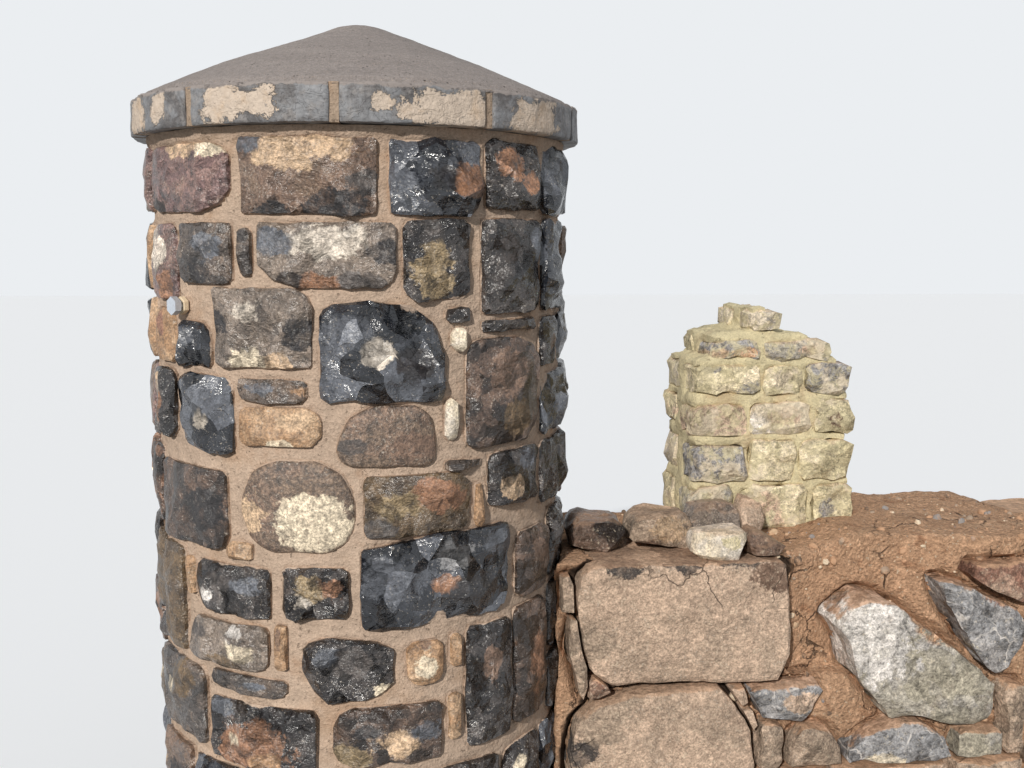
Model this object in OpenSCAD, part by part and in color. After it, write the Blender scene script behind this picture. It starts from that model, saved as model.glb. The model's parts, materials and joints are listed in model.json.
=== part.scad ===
// Rubble boundary wall that ends in a round, mortared pillar.
// The pillar stands on the Z axis with its most seen side towards -Y.
// The wall butts against it on the +X side and runs along +X.

/* [Pillar] */
// Diameter over the faces of the facing stones
shaft_d = 860; // [780:10:890]
// Height of the shaft from the ground to the coping
shaft_h = 1730; // [1500:10:1900]
// Depth of the facing stones from the face inwards
facing_depth = 110; // [70:5:140]
// Distance that the middle of a stone's face stands proud of its edges
face_crown = 9; // [3:1:14]
// Distance that the mortar lies behind the middle of the stones' faces
mortar_recess = 14; // [10:1:24]

/* [Coping] */
// Diameter of the ring of coping stones
coping_d = 900; // [890:5:960]
// Height of the coping stones
coping_h = 67; // [50:1:90]
// Depth of the coping stones from the face inwards
coping_depth = 160; // [100:10:220]
// Number of coping stones in the ring
coping_count = 10; // [8:1:14]
// Width of the mortar joint between two coping stones
coping_joint = 17; // [8:1:24]
// Direction of the first joint, in degrees from the front towards +X
coping_turn = -41.5; // [-60:0.5:-30]
// Distance that the joint mortar lies behind the coping stones' faces
coping_recess = 5; // [2:1:12]

/* [Cap] */
// Height of the mortar cap above the coping
cap_h = 171; // [120:1:220]
// Distance that the cap's edge stays behind the faces of the coping stones
cap_inset = 3; // [0:1:20]
// Radius of the cap's rounded top
cap_nose = 62; // [40:1:90]

/* [Fixing bolt] */
// Diameter of the bolt's shank
bolt_d = 20; // [12:1:24]
// Width across the flats of the bolt's head and nut
bolt_flats = 30; // [26:1:36]
// Thickness of the bolt's head
bolt_head = 12; // [8:1:16]
// Thickness of the nut that bears on the mortar
bolt_nut = 10; // [6:1:16]
// Bare shank between the nut and the head
bolt_gap = 6; // [2:1:20]
// Length of the shank that is bedded in the mortar
bolt_bedded = 90; // [60:5:140]
// Height of the bolt above the ground, on a shaft of the surveyed height
bolt_z = 1412; // [1406:1:1418]
// Direction in which the bolt points, in degrees from the front towards +X
bolt_azimuth = -51.3; // [-52:0.1:-51]

/* [Wall] */
// Distance from the pillar's axis to the far end of the wall
wall_end_x = 2050; // [2000:10:2200]
// Thickness of the wall over the faces of its stones
wall_t = 500; // [480:10:560]
// Distance from the pillar's axis to the wall's front face
wall_front = 210; // [190:5:230]
// Height of the wall
wall_h = 868; // [840:2:900]
// Distance that the earth hearting lies behind the faces of the stones
core_recess = 25; // [15:1:40]
// Depth of the face stones from the face inwards
face_depth = 180; // [120:10:190]
// Distance that the foot of the wall stands out past its top, on each side
batter = 24; // [0:2:40]
// Length of the end stones along the wall
end_len = 200; // [140:10:240]
// Bedding gap between two end stones
end_gap = 0.3; // [0.2:0.1:1]
// Depth of the hollow where the face has fallen away, from the face inwards
fallen_depth = 85; // [60:5:110]

/* [Old stub] */
// Height of the broken stub of the older wall, above the ground
stub_h = 1382; // [1300:2:1420]
// Thickness of the stub
stub_t = 240; // [200:5:245]
// Distance from the pillar's axis to the stub's near side
stub_x0 = 740; // [720:5:760]
// Length of the stub
stub_len = 400; // [380:10:440]
// Depth of the stub's face stones from the face inwards
stub_depth = 95; // [70:5:98]
// Distance that the stub's mortar lies behind the faces of its stones
stub_recess = 14; // [8:1:24]

/* [Hidden] */
$fn = 96;
fine = 360;
shaft_r = shaft_d / 2;
coping_r = coping_d / 2;
mortar_r = shaft_r - mortar_recess;
touch = 0.3;

// The pillar's mortar is built up in lifts. The first starts on the ground and the last ends at the
// shaft's top, so the last number is the height of the shaft as it was surveyed.
LIFTS = [0, 288, 555, 838, 1145, 1428, 1730];
lift_count = len(LIFTS) - 1;
// A surveyed height on a shaft of the height that is built
function lift(z) = z * shaft_h / LIFTS[lift_count];

// A stone of the pillar is [from, to, low, high, cuts].
// From and to are degrees round the pillar, where 0 faces the front and + turns towards +X.
// Low and high are millimetres above the ground on a shaft of the surveyed height.
// Cuts are what is missing at the corners: bottom left, bottom right, top right, top left.
// Each is a number, or [along, up] where the two differ.
SEEN_COURSES = [
    // Course 5, the lowest that is surveyed
    [[-76, -46.7, 572, 724, [15, 10, 25, 30]],
     [-44, -13, 560, 676, [6, 6, 8, 8]],
     [-8.5, 19.5, 572, 682, [30, 10, 12, 35]],
     [21.3, 24.8, 600, 690, [5, 5, 8, 5]],
     [26.7, 41.2, 576, 812, [10, 10, 8, 10]],
     [43, 60, 586, 824, [10, 20, 20, 10]],
     [62, 77, 566, 684, [12, 12, 12, 12]]],
    // Course 6
    [[-77, -69, 738, 782, [6, 6, 6, 6]],
     [-52.7, -25.3, 743, 826, [12, [30, 18], 8, 30]],
     [-23.3, -20, 750, 836, [4, 4, 4, 4]],
     [-43.5, -20.3, 694, 730, [[80, 14], [30, 18], 8, 6]],
     [-15.5, 6.7, 696, 815, [[45, 60], [65, 35], [90, 25], [50, 18]]],
     [10, 20, 718, 802, [18, 16, 14, 14]],
     [21.8, 25, 742, 806, [7, 7, 9, 7]],
     [62, 77, 700, 834, [12, 12, 12, 12]]],
    // Course 7
    [[-77, -69, 796, 956, [10, 6, 6, 10]],
     [-67.5, -55.3, 742, 948, [12, 8, 10, 14]],
     [-53.2, -50.2, 862, 938, [5, 5, 5, 5]],
     [-48.5, -24.3, 845, 938, [35, 8, 8, 15]],
     [-37, -29.2, 952, 984, [8, 4, 4, 12]],
     [-21, -4.3, 852, 945, [20, 8, 8, 10]],
     [-1, 40, 832, 1000, [8, [30, 40], 5, [200, 22]]],
     [44, 60, 840, 972, [15, 25, 25, 15]],
     [62, 77, 850, 992, [12, 12, 12, 12]]],
    // Course 8
    [[-77, -70, 976, 1130, [10, 6, 6, 10]],
     [-68, -36.6, 964, 1112, [30, 30, 12, 12]],
     [-32.7, -2, 970, 1146, [65, 58, 70, 78]],
     [0, 27.5, 1002, 1112, [8, 22, 20, 6]],
     [29.2, 31.6, 1004, 1086, [4, 4, 4, 4]],
     [20.5, 31.5, 1119, 1132, [3, 3, 3, 3]],
     [33.3, 54, 1036, 1138, [10, 12, 8, 10]],
     [56, 77, 1010, 1138, [14, 14, 14, 14]]],
    // Course 9
    [[-77, -74.5, 1150, 1290, [4, 4, 4, 4]],
     [-72.6, -57, 1160, 1288, [12, 20, 15, 30]],
     [-54.5, -34, 1150, 1287, [26, 6, 22, 30]],
     [-32.3, -13.3, 1246, 1286, [14, 16, 10, 6]],
     [-32, -10, 1168, 1236, [10, 20, 25, 10]],
     [-6.6, 18, 1130, 1242, [25, 14, [40, 55], [62, 70]]],
     [20.5, 24.3, 1170, 1250, [10, 8, 12, 8]],
     [26.7, 53.4, 1153, 1354, [12, 16, [70, 45], 30]],
     [56, 77, 1152, 1272, [14, 14, 14, 14]]],
    // Course 10
    [[-77, -71.3, 1304, 1420, [8, 6, 6, 8]],
     [-69.5, -55.6, 1303, 1406, [15, 15, 22, 30]],
     [-53.3, -41, 1302, 1384, [6, 6, 20, 12]],
     [-39, -12.3, 1307, 1446, [8, 6, 28, 6]],
     [-10.3, 20.2, 1250, 1421, [14, 10, [62, 95], [24, 30]]],
     [20.8, 28.3, 1390, 1411, [4, 5, 4, 8]],
     [22.2, 26.6, 1334, 1377, [12, 9, 10, 10]],
     [31.5, 52.5, 1367, 1386, [4, 5, 5, 6]],
     [55.5, 66, 1287, 1386, [14, 12, 14, 12]],
     [68, 77, 1287, 1386, [12, 10, 10, 12]]],
    // Course 11
    [[-77, -72, 1436, 1562, [8, 6, 6, 8]],
     [-70, -53.5, 1422, 1562, [30, 10, 25, 40]],
     [-51.5, -33, 1455, 1562, [14, 8, 5, 5]],
     [-30.9, -27.3, 1468, 1553, [5, 6, 9, 9]],
     [-25.4, 8.3, 1449, 1562, [[75, 46], [26, 34], [12, 8], 6]],
     [10, 27.5, 1428, 1566, [25, 12, 6, 12]],
     [31.5, 54, 1399, 1571, [8, 10, 6, 6]],
     [56, 77, 1400, 1573, [10, 10, 10, 10]]],
    // Course 12, under the coping
    [[-77, -70.6, 1588, 1706, [10, 8, 8, 10]],
     [-69, -33, 1582, 1703, [[52, 26], [75, 40], [40, 30], [26, 14]]],
     [-30, 4, 1577, 1707, [6, 8, 6, 6]],
     [6.9, 31, 1577, 1709, [5, [34, 44], [14, 30], 6]],
     [32.7, 53.5, 1590, 1713, [6, 6, 6, 6]],
     [55.5, 77, 1588, 1716, [10, 10, 10, 10]]],
];

// Low and high of each course, on a shaft of the surveyed height
COURSES = [[0, 136], [150, 282], [296, 414], [428, 548], [562, 684], [698, 832],
           [846, 982], [996, 1138], [1152, 1284], [1298, 1420], [1434, 1568], [1582, 1710]];
first_seen = len(COURSES) - len(SEEN_COURSES);
course_count = len(COURSES);
// Edges of the stretch round the back that no survey shows, in degrees
back_from = 79;
back_to = 281;
// Usual width of a stone there, and of the joint beside it, in degrees
stone_step = 25;
joint_step = 2;

// Sum of the first n numbers of a list
function sum(list, n, i = 0) = i >= n ? 0 : list[i] + sum(list, n, i + 1);

// Splits the stretch from a to b into n parts of unlike length, with a gap after each
function split(a, b, n, gap, seed) =
    let (w = rands(0.65, 1.35, n, seed), whole = sum(w, n))
    [for (i = [0 : n - 1])
        [a + (b - a) * sum(w, i) / whole + gap / 2, a + (b - a) * sum(w, i + 1) / whole - gap / 2]];

// Stones that fill one course from a to b, with uneven beds and knocked-off corners
function fill_course(a, b, low, high, step, gap, seed) =
    [for (i = 0, parts = split(a, b, max(1, round((b - a) / step)), gap, seed);
          i < len(parts);
          i = i + 1)
        let (r = rands(0, 1, 6, seed * 100 + i))
        [parts[i][0], parts[i][1], low + 8 * r[0], high - 10 * r[1],
         [for (k = [2 : 5]) 4 + (high - low) * 0.22 * r[k] * r[k]]]];

// Every stone of a course of the pillar
function course_stones(k) =
    let (z = COURSES[k])
    k < first_seen
    ? fill_course(-80 + 9 * k, 280 + 9 * k, max(z[0], touch), z[1], stone_step, joint_step, 31 + k)
    : concat(SEEN_COURSES[k - first_seen],
             fill_course(back_from, back_to, z[0], z[1], stone_step, joint_step, 31 + k));

// The corner points of a cut, rounded with one more point where the cut is large
function cut_of(c) = is_num(c) ? [c, c] : c;
function corner(p, dir_a, dir_b, c) =
    let (m = cut_of(c), size = max(m[0], m[1]),
         a = [p[0] + dir_a[0] * m[0], p[1] + dir_a[1] * m[1]],
         b = [p[0] + dir_b[0] * m[0], p[1] + dir_b[1] * m[1]],
         mid = 0.34)
    size > 20
    ? [a, [p[0] + (dir_a[0] + dir_b[0]) * m[0] * mid, p[1] + (dir_a[1] + dir_b[1]) * m[1] * mid], b]
    : [a, b];

// Outline of a stone's face, centred on x, standing on z = 0
function outline(w, h, cuts) = concat(
    corner([-w / 2, 0], [0, 1], [1, 0], cuts[0]),
    corner([w / 2, 0], [-1, 0], [0, 1], cuts[1]),
    corner([w / 2, h], [0, -1], [-1, 0], cuts[2]),
    corner([-w / 2, h], [1, 0], [0, -1], cuts[3]));

// Part of a stone's width, each side of its middle, over which its face is flat
flat_share = 0.5;

function around(r, a) = [r * sin(a), -r * cos(a)];

// Side view of a stone, whose face falls back by the crown towards its top and bottom bed.
// The face looks along -Y, and the stone is w long.
module bedded(face, tail, w, h, crown) {
    translate([-w / 2, 0, 0]) rotate([90, 0, 90]) linear_extrude(w) polygon([
        [tail, 0], [face + crown, 0], [face, h * (1 - flat_share) / 2],
        [face, h * (1 + flat_share) / 2], [face + crown, h], [tail, h]]);
}

// One stone of the pillar: radial sides, a face crowned both ways and corners as its cuts say
module facing_stone(stone) {
    half = (stone[1] - stone[0]) / 2;
    low = lift(stone[2]);
    h = lift(stone[3]) - low;
    edge = shaft_r - face_crown;
    face = shaft_r * cos(half * flat_share);
    rotate([0, 0, stone[0] + half]) translate([0, 0, low])
    intersection() {
        linear_extrude(h) polygon([
            around(shaft_r - facing_depth, -half), around(edge, -half),
            around(shaft_r, -half * flat_share), around(shaft_r, half * flat_share),
            around(edge, half), around(shaft_r - facing_depth, half)]);
        rotate([90, 0, 0]) linear_extrude(shaft_r + 1)
            polygon(outline(2 * edge * sin(half), h, stone[4]));
        bedded(-face, 0, 2 * shaft_r * sin(half) + 1, h, face_crown * 0.7);
    }
}

module pillar_course(k) {
    color("dimgray") for (stone = course_stones(k)) facing_stone(stone);
}

module bolt_place() {
    rotate([0, 0, bolt_azimuth]) translate([0, -mortar_r, lift(bolt_z)]) rotate([90, 0, 0]) children();
}

// One lift of the pillar's mortar and hearting, with a pocket for each facing stone
module pillar_mortar(k) {
    low = lift(LIFTS[k]);
    high = lift(LIFTS[k + 1]);
    stones = [for (c = [0 : course_count - 1]) each
        [for (s = course_stones(c)) if (lift(s[2]) < high && lift(s[3]) > low) s]];
    color("tan") difference() {
        translate([0, 0, low]) cylinder(r = mortar_r, h = high - low);
        for (stone = stones) facing_stone(stone);
        bolt_place() translate([0, 0, -bolt_bedded]) cylinder(d = bolt_d, h = bolt_bedded + 20);
    }
}

// A stretch of the ring between two joints, which the mortar's cutter overshoots by a margin
module coping_stone(i, over = 0) {
    joint = coping_joint / coping_r * 180 / PI;
    pitch = 360 / coping_count;
    start = coping_turn + pitch * i;
    translate([0, 0, shaft_h - over])
        rotate([0, 0, start - 90 + joint / 2]) rotate_extrude(angle = pitch - joint, $fn = fine)
            translate([coping_r - coping_depth, 0]) square([coping_depth + over, coping_h + 2 * over]);
}

module coping_stones() {
    color("slategray") for (i = [0 : coping_count - 1]) coping_stone(i);
}

// Mortar inside the ring and in its joints
module coping_mortar() {
    color("tan") difference() {
        translate([0, 0, shaft_h])
            cylinder(r = coping_r - coping_recess, h = coping_h, $fn = fine);
        for (i = [0 : coping_count - 1]) coping_stone(i, over = 1);
    }
}

// Half outline of the cap: a steeper eave, a straight slope and a rounded top
cap_r = coping_r - cap_inset;
eave_r = cap_r * 0.95;
eave_z = cap_h * 0.075;
knee_r = cap_r * 0.66;
knee_z = cap_h * 0.41;
nose_z = cap_h - cap_nose * 0.2;
function nose_point(a) = [cap_nose * sin(a) / sin(60), nose_z + (cap_h - nose_z) * (cos(a) - 0.5) * 2];

module mortar_cap() {
    color("gray") translate([0, 0, shaft_h + coping_h]) rotate_extrude() polygon(concat(
        [[0, 0], [cap_r, 0], [cap_r, 2], [eave_r, eave_z], [knee_r, knee_z]],
        [for (a = [60 : -12 : 0]) nose_point(a)]));
}

module hexagon(flats, h) {
    rotate([0, 0, 30]) cylinder(d = flats / cos(30), h = h, $fn = 6);
}

module fixing_nut() {
    color("ivory") bolt_place() difference() {
        hexagon(bolt_flats, bolt_nut);
        translate([0, 0, -1]) cylinder(d = bolt_d, h = bolt_nut + 2);
    }
}

module fixing_bolt() {
    color("silver") bolt_place() {
        translate([0, 0, -bolt_bedded]) cylinder(d = bolt_d, h = bolt_bedded + bolt_nut + bolt_gap);
        translate([0, 0, bolt_nut + bolt_gap]) hexagon(bolt_flats, bolt_head);
    }
}

// The wall
wall_back = wall_t - wall_front;
end_x0 = wall_end_x - end_len;
wall_step = 250;
wall_joint = 14;
// How far a wall stone's face falls back towards its edges
wall_crown = 8;
// Low and high of the wall's courses as they were surveyed, where the last number is the wall's height
WALL_COURSES = [[0, 186], [200, 342], [356, 518], [532, 672], [686, 868]];
wall_course_count = len(WALL_COURSES);
surveyed_top = WALL_COURSES[wall_course_count - 1][1];
// A surveyed height on a wall of the height that is built
function wall_lift(z) = z * wall_h / surveyed_top;

// How far the face stands out at a height
function face_out(z) = batter * max(0, wall_h - z) / wall_h;

// A stone of the wall that was surveyed by itself is [outline, depth]. The outline's points are
// [along the wall, above the ground] as surveyed, and the depth is from the face.
// The two big blocks beside the pillar
UPPER_BLOCK = [[[446, 704], [433, 800], [438, 845], [460, 862], [492, surveyed_top],
                [870, surveyed_top], [882, 855], [891, 736], [895, 670], [872, 604],
                [648, 612], [508, 614], [460, 647]], 235];
LOWER_BLOCK = [[[419, 356], [419, 475], [436, 533], [477, 572], [541, 590], [741, 597],
                [778, 556], [812, 492], [820, 415], [820, 356]], 245];
// The rough stones where the face has fallen and the earth shows
ROUGH_STONES = [
    [[[1000, 720], [1030, 758], [1060, 775], [1118, 765], [1275, 650], [1370, 570], [1365, 495],
      [1275, 480], [1205, 510], [1125, 510], [1046, 607], [1030, 672]], 180],
    [[[1232, 803], [1258, 806], [1410, 740], [1427, 696], [1408, 631], [1380, 590], [1346, 615],
      [1292, 682], [1245, 765]], 150],
    [[[1035, 410], [1035, 442], [1079, 480], [1151, 500], [1193, 496], [1250, 455], [1272, 412]], 160],
    [[[1007, 352], [1007, 394], [1030, 400], [1226, 400], [1268, 390], [1268, 352]], 160],
    [[[1284, 412], [1284, 462], [1300, 470], [1385, 468], [1392, 412]], 150],
    [[[1284, 352], [1284, 400], [1438, 400], [1438, 352]], 150],
    [[[1402, 412], [1402, 480], [1386, 556], [1400, 574], [1438, 568], [1438, 412]], 150],
    [[[1304, 815], [1310, 840], [1438, 845], [1438, 745], [1424, 752]], 170],
];
// Small stones that pin the blocks
PINNINGS = [
    [[[414, 690], [420, 760], [430, 757], [440, 700], [452, 645], [456, 600], [446, 578], [430, 640]], 80],
    [[[400, 772], [402, 845], [420, 853], [427, 800], [424, 772]], 60],
    [[[462, 582], [458, 618], [470, 630], [505, 607], [498, 590]], 90],
    [[[838, 525], [807, 590], [965, 592], [972, 583], [923, 514]], 120],
    [[[760, 596], [795, 594], [806, 562], [790, 550]], 70],
    [[[797, 540], [812, 546], [826, 512], [820, 498]], 70],
    [[[834, 410], [834, 500], [850, 513], [880, 505], [889, 470], [874, 410]], 110],
    [[[834, 352], [834, 396], [990, 396], [990, 352]], 130],
    [[[900, 412], [905, 470], [930, 500], [985, 490], [1015, 450], [1018, 412]], 130],
];
// Where the regular courses begin again past the rough stones
regular_x0 = 1452;

// A wall stone's face looks along -Y, or along +Y on the back, and is crowned both ways
module face_stone(stone, back = false) {
    points = stone[0];
    depth = stone[1];
    along = [for (p = points) p[0]];
    above = [for (p = points) wall_lift(p[1])];
    mid = (min(along) + max(along)) / 2;
    w = max(along) - min(along);
    low = min(above);
    h = max(above) - low;
    out = face_out(low + h / 2);
    face_y = back ? wall_back + out : -wall_front - out;
    side = back ? 180 : 0;
    translate([mid, face_y, low]) rotate([0, 0, side]) intersection() {
        translate([0, depth, 0]) rotate([90, 0, 0]) linear_extrude(depth + 1)
            polygon([for (k = [0 : len(points) - 1]) [along[k] - mid, above[k] - low]]);
        linear_extrude(h) polygon([
            [-w / 2, depth], [-w / 2, wall_crown], [-w / 2 * flat_share, 0],
            [w / 2 * flat_share, 0], [w / 2, wall_crown], [w / 2, depth]]);
        bedded(0, depth, w, h, wall_crown);
    }
}

// Stones that fill a course of the wall's face from a to b
function wall_fill(a, b, k, seed) =
    [for (s = fill_course(a, b, max(WALL_COURSES[k][0], touch), WALL_COURSES[k][1],
                          wall_step, wall_joint, seed))
        [[for (p = outline(s[1] - s[0], s[3] - s[2], s[4])) [p[0] + (s[0] + s[1]) / 2, p[1] + s[2]]],
         face_depth]];

// Where the round pillar's side lies, at a distance from its axis across the wall
function beside_pillar(y) = sqrt(pow(shaft_r + touch, 2) - y * y);
pillar_joint = 10;

full_front_courses = 2;
function front_course(k) = wall_fill(
    k < full_front_courses ? beside_pillar(wall_front + batter) + pillar_joint : regular_x0,
    end_x0, k, 71 + k);
function back_course(k) = wall_fill(beside_pillar(wall_back) + 4 * pillar_joint, end_x0, k, 81 + k);
function front_stones() = concat(
    [for (k = [0 : wall_course_count - 1]) each front_course(k)],
    [UPPER_BLOCK, LOWER_BLOCK], ROUGH_STONES, PINNINGS);
function back_stones() = [for (k = [0 : wall_course_count - 1]) each back_course(k)];

// The room that the wall leaves for the pillar
module pillar_room() {
    translate([0, 0, -1]) cylinder(r = shaft_r + touch, h = shaft_h);
}

// Stones of the wall that fit against the pillar
module fitted(stones, back = false) {
    difference() {
        for (stone = stones) face_stone(stone, back);
        pillar_room();
    }
}
module wall_front_course(k) {
    color("rosybrown") fitted(front_course(k));
}
module wall_back_course(k) {
    color("rosybrown") fitted(back_course(k), back = true);
}
module upper_block() {
    color("tan") fitted([UPPER_BLOCK]);
}
module lower_block() {
    color("burlywood") fitted([LOWER_BLOCK]);
}
module rough_stones() {
    color("slategray") fitted(ROUGH_STONES);
}
module pinnings() {
    color("peru") fitted(PINNINGS);
}

// Through stones that close the wall's far end
module end_stone(k) {
    low = k == 0 ? 0 : wall_lift(WALL_COURSES[k - 1][1]) + end_gap;
    high = wall_lift(WALL_COURSES[k][1]);
    out = face_out((low + high) / 2);
    translate([end_x0, -wall_front - out, low]) cube([end_len, wall_t + 2 * out, high - low]);
}
module end_stones() {
    color("darkgray") for (k = [0 : wall_course_count - 1]) end_stone(k);
}

// Earth and rubble hearting, in three parts: beside the pillar, and below and above the fallen face
fallen_x0 = 899;
fallen_x1 = 1330;
fallen_z = wall_lift(604);
// The hearting is mounded over the fallen face, with a slope at each end
mound = 30;
mound_x0 = 1060;
mound_x1 = 1500;
mound_slope = 80;
hearting_x0 = shaft_r * 0.6;
HEARTING = [[hearting_x0, fallen_x0, 0, wall_h], [fallen_x0, end_x0, 0, fallen_z],
            [fallen_x0, end_x0, fallen_z, wall_h + mound]];

// Side view of the whole hearting
module hearting_outline() {
    polygon([[hearting_x0, 0], [end_x0, 0], [end_x0, wall_h], [mound_x1 + mound_slope, wall_h],
             [mound_x1, wall_h + mound], [mound_x0, wall_h + mound],
             [mound_x0 - mound_slope, wall_h], [hearting_x0, wall_h]]);
}
// The hollow that the fallen face stones left beside the upper block, from above
module fallen_hollow() {
    length = fallen_x1 - fallen_x0;
    translate([fallen_x0, -wall_front, fallen_z]) linear_extrude(wall_h) polygon([
        [0, -1], [0, fallen_depth * 0.8], [length * 0.2, fallen_depth],
        [length * 0.6, fallen_depth], [length, core_recess + 5], [length, -1]]);
}
module hearting(k) {
    part = HEARTING[k];
    color("sienna") difference() {
        translate([0, wall_back - core_recess, 0]) rotate([90, 0, 0])
            linear_extrude(wall_t - 2 * core_recess) intersection() {
                hearting_outline();
                translate([part[0], part[2]]) square([part[1] - part[0], part[3] - part[2]]);
            }
        pillar_room();
        for (stone = front_stones()) face_stone(stone);
        for (stone = back_stones()) face_stone(stone, back = true);
        if (k == 2) fallen_hollow();
        stub_room();
    }
}

// Loose stones along the top of the wall are [x, y, length, width, height, cuts].
// These six lie in a row that starts beside the pillar.
TOP_STONES = [
    [shaft_r + 68, -40, 122, 130, 66, [10, 16, 24, 20]],
    [shaft_r + 212, -45, 140, 130, 76, [14, 12, 26, 30]],
    [shaft_r + 340, -25, 112, 96, 86, [12, 18, 22, 34]],
    [shaft_r + 312, -154, 116, 80, 58, [8, 8, 10, 12]],
    [shaft_r + 416, -140, 78, 90, 50, [6, 10, 8, 10]],
    [shaft_r + 426, -20, 54, 80, 96, [6, 6, 16, 10]],
];
// The loose stones further along, one in each bay of this length
loose_from = 1570;
loose_bay = 92;
LOOSE_STONES = [for (i = [0 : floor((wall_end_x - end_len - loose_from) / loose_bay) - 1])
    let (r = rands(0, 1, 9, 501 + i))
    [loose_from + (i + 0.5) * loose_bay, -70 + 190 * r[0], 60 + 24 * r[1], 70 + 70 * r[2],
     34 + 44 * r[3], [4 + 8 * r[4], 4 + 8 * r[5], 6 + 14 * r[6], 6 + 14 * r[7]]]];

module top_stone(s) {
    translate([s[0], s[1] + s[3] / 2, wall_h]) rotate([90, 0, 0]) linear_extrude(s[3])
        polygon(outline(s[2], s[4], s[5]));
}
module top_stones() {
    color("burlywood") for (s = concat(TOP_STONES, LOOSE_STONES)) top_stone(s);
}

// Broken stub of the older wall, which stands on the back of this one
stub_x1 = stub_x0 + stub_len;
stub_front = wall_back - stub_t;
stub_rise = stub_h - wall_h;
// Share of the stub's rise that its top courses reach, and how far they step in at each end
STUB_COURSES = [[0, 0.2, 0, 0], [0.22, 0.41, 4, 6], [0.43, 0.59, 0, 8], [0.61, 0.755, 6, 14],
                [0.775, 0.87, 40, 60], [0.89, 1, 130, 184]];
stub_step = 125;
stub_joint = 12;
function stub_course(k, seed) =
    let (c = STUB_COURSES[k])
    [for (s = fill_course(stub_x0 + c[2], stub_x1 - c[3], 0, stub_rise * (c[1] - c[0]),
                          stub_step, stub_joint, seed))
        [s[0], s[1], wall_h + stub_rise * c[0] + s[2], wall_h + stub_rise * c[0] + s[3], s[4]]];
function stub_all(seed) = [for (k = [0 : len(STUB_COURSES) - 1]) each stub_course(k, seed + k)];

module stub_stone(stone, back = false) {
    w = stone[1] - stone[0];
    h = stone[3] - stone[2];
    face_y = back ? wall_back : stub_front;
    side = back ? 180 : 0;
    translate([stone[0] + w / 2, face_y, stone[2]]) rotate([0, 0, side])
        translate([0, stub_depth, 0]) rotate([90, 0, 0]) linear_extrude(stub_depth)
            polygon(outline(w, h, stone[4]));
}
module stub_stones() {
    color("khaki") {
        for (stone = stub_all(601)) stub_stone(stone);
        for (stone = stub_all(701)) stub_stone(stone, back = true);
    }
}

// The stub's outline, stepped in at each course by the same distance as its stones
module stub_outline(inset) {
    polygon(concat(
        [for (c = STUB_COURSES) each [[stub_x0 + c[2] + inset, wall_h + stub_rise * c[0]],
                                      [stub_x0 + c[2] + inset, wall_h + stub_rise * c[1]]]],
        [for (k = [len(STUB_COURSES) - 1 : -1 : 0]) let (c = STUB_COURSES[k])
            each [[stub_x1 - c[3] - inset, wall_h + stub_rise * c[1] - inset],
                  [stub_x1 - c[3] - inset, wall_h + stub_rise * c[0]]]]));
}
module stub_masonry() {
    color("tan") difference() {
        translate([0, wall_back - stub_recess, 0]) rotate([90, 0, 0])
            linear_extrude(stub_t - 2 * stub_recess) stub_outline(stub_recess);
        for (stone = stub_all(601)) stub_stone(stone);
        for (stone = stub_all(701)) stub_stone(stone, back = true);
    }
}
// What the hearting leaves free for the stub's foot
module stub_room() {
    translate([0, wall_back + 1, wall_h]) rotate([90, 0, 0]) linear_extrude(stub_t + 1)
        translate([stub_x0, 0]) square([stub_len, stub_rise]);
}

pillar_mortar(0);  // pillar_mortar_1
pillar_mortar(1);  // pillar_mortar_2
pillar_mortar(2);  // pillar_mortar_3
pillar_mortar(3);  // pillar_mortar_4
pillar_mortar(4);  // pillar_mortar_5
pillar_mortar(5);  // pillar_mortar_6
pillar_course(0);  // pillar_course_01
pillar_course(1);  // pillar_course_02
pillar_course(2);  // pillar_course_03
pillar_course(3);  // pillar_course_04
pillar_course(4);  // pillar_course_05
pillar_course(5);  // pillar_course_06
pillar_course(6);  // pillar_course_07
pillar_course(7);  // pillar_course_08
pillar_course(8);  // pillar_course_09
pillar_course(9);  // pillar_course_10
pillar_course(10);  // pillar_course_11
pillar_course(11);  // pillar_course_12
coping_stones();
coping_mortar();
mortar_cap();
fixing_nut();
fixing_bolt();
hearting(0);  // hearting_near
hearting(1);  // hearting_lower
hearting(2);  // hearting_upper
wall_front_course(0);  // wall_front_course_1
wall_front_course(1);  // wall_front_course_2
wall_front_course(2);  // wall_front_course_3
wall_front_course(3);  // wall_front_course_4
wall_front_course(4);  // wall_front_course_5
wall_back_course(0);  // wall_back_course_1
wall_back_course(1);  // wall_back_course_2
wall_back_course(2);  // wall_back_course_3
wall_back_course(3);  // wall_back_course_4
wall_back_course(4);  // wall_back_course_5
upper_block();
lower_block();
rough_stones();
pinnings();
end_stones();
top_stones();
stub_masonry();
stub_stones();
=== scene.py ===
"""Looks of a rubble boundary wall that ends in a round, mortared pillar.

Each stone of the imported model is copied, broken back to flakes and facets, weathered and coloured.
"""

import json
import math
import random
from collections import namedtuple

import bpy
from bpy.props import FloatProperty, FloatVectorProperty, IntProperty, PointerProperty
from mathutils import Matrix, Vector
from mathutils.bvhtree import BVHTree

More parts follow.
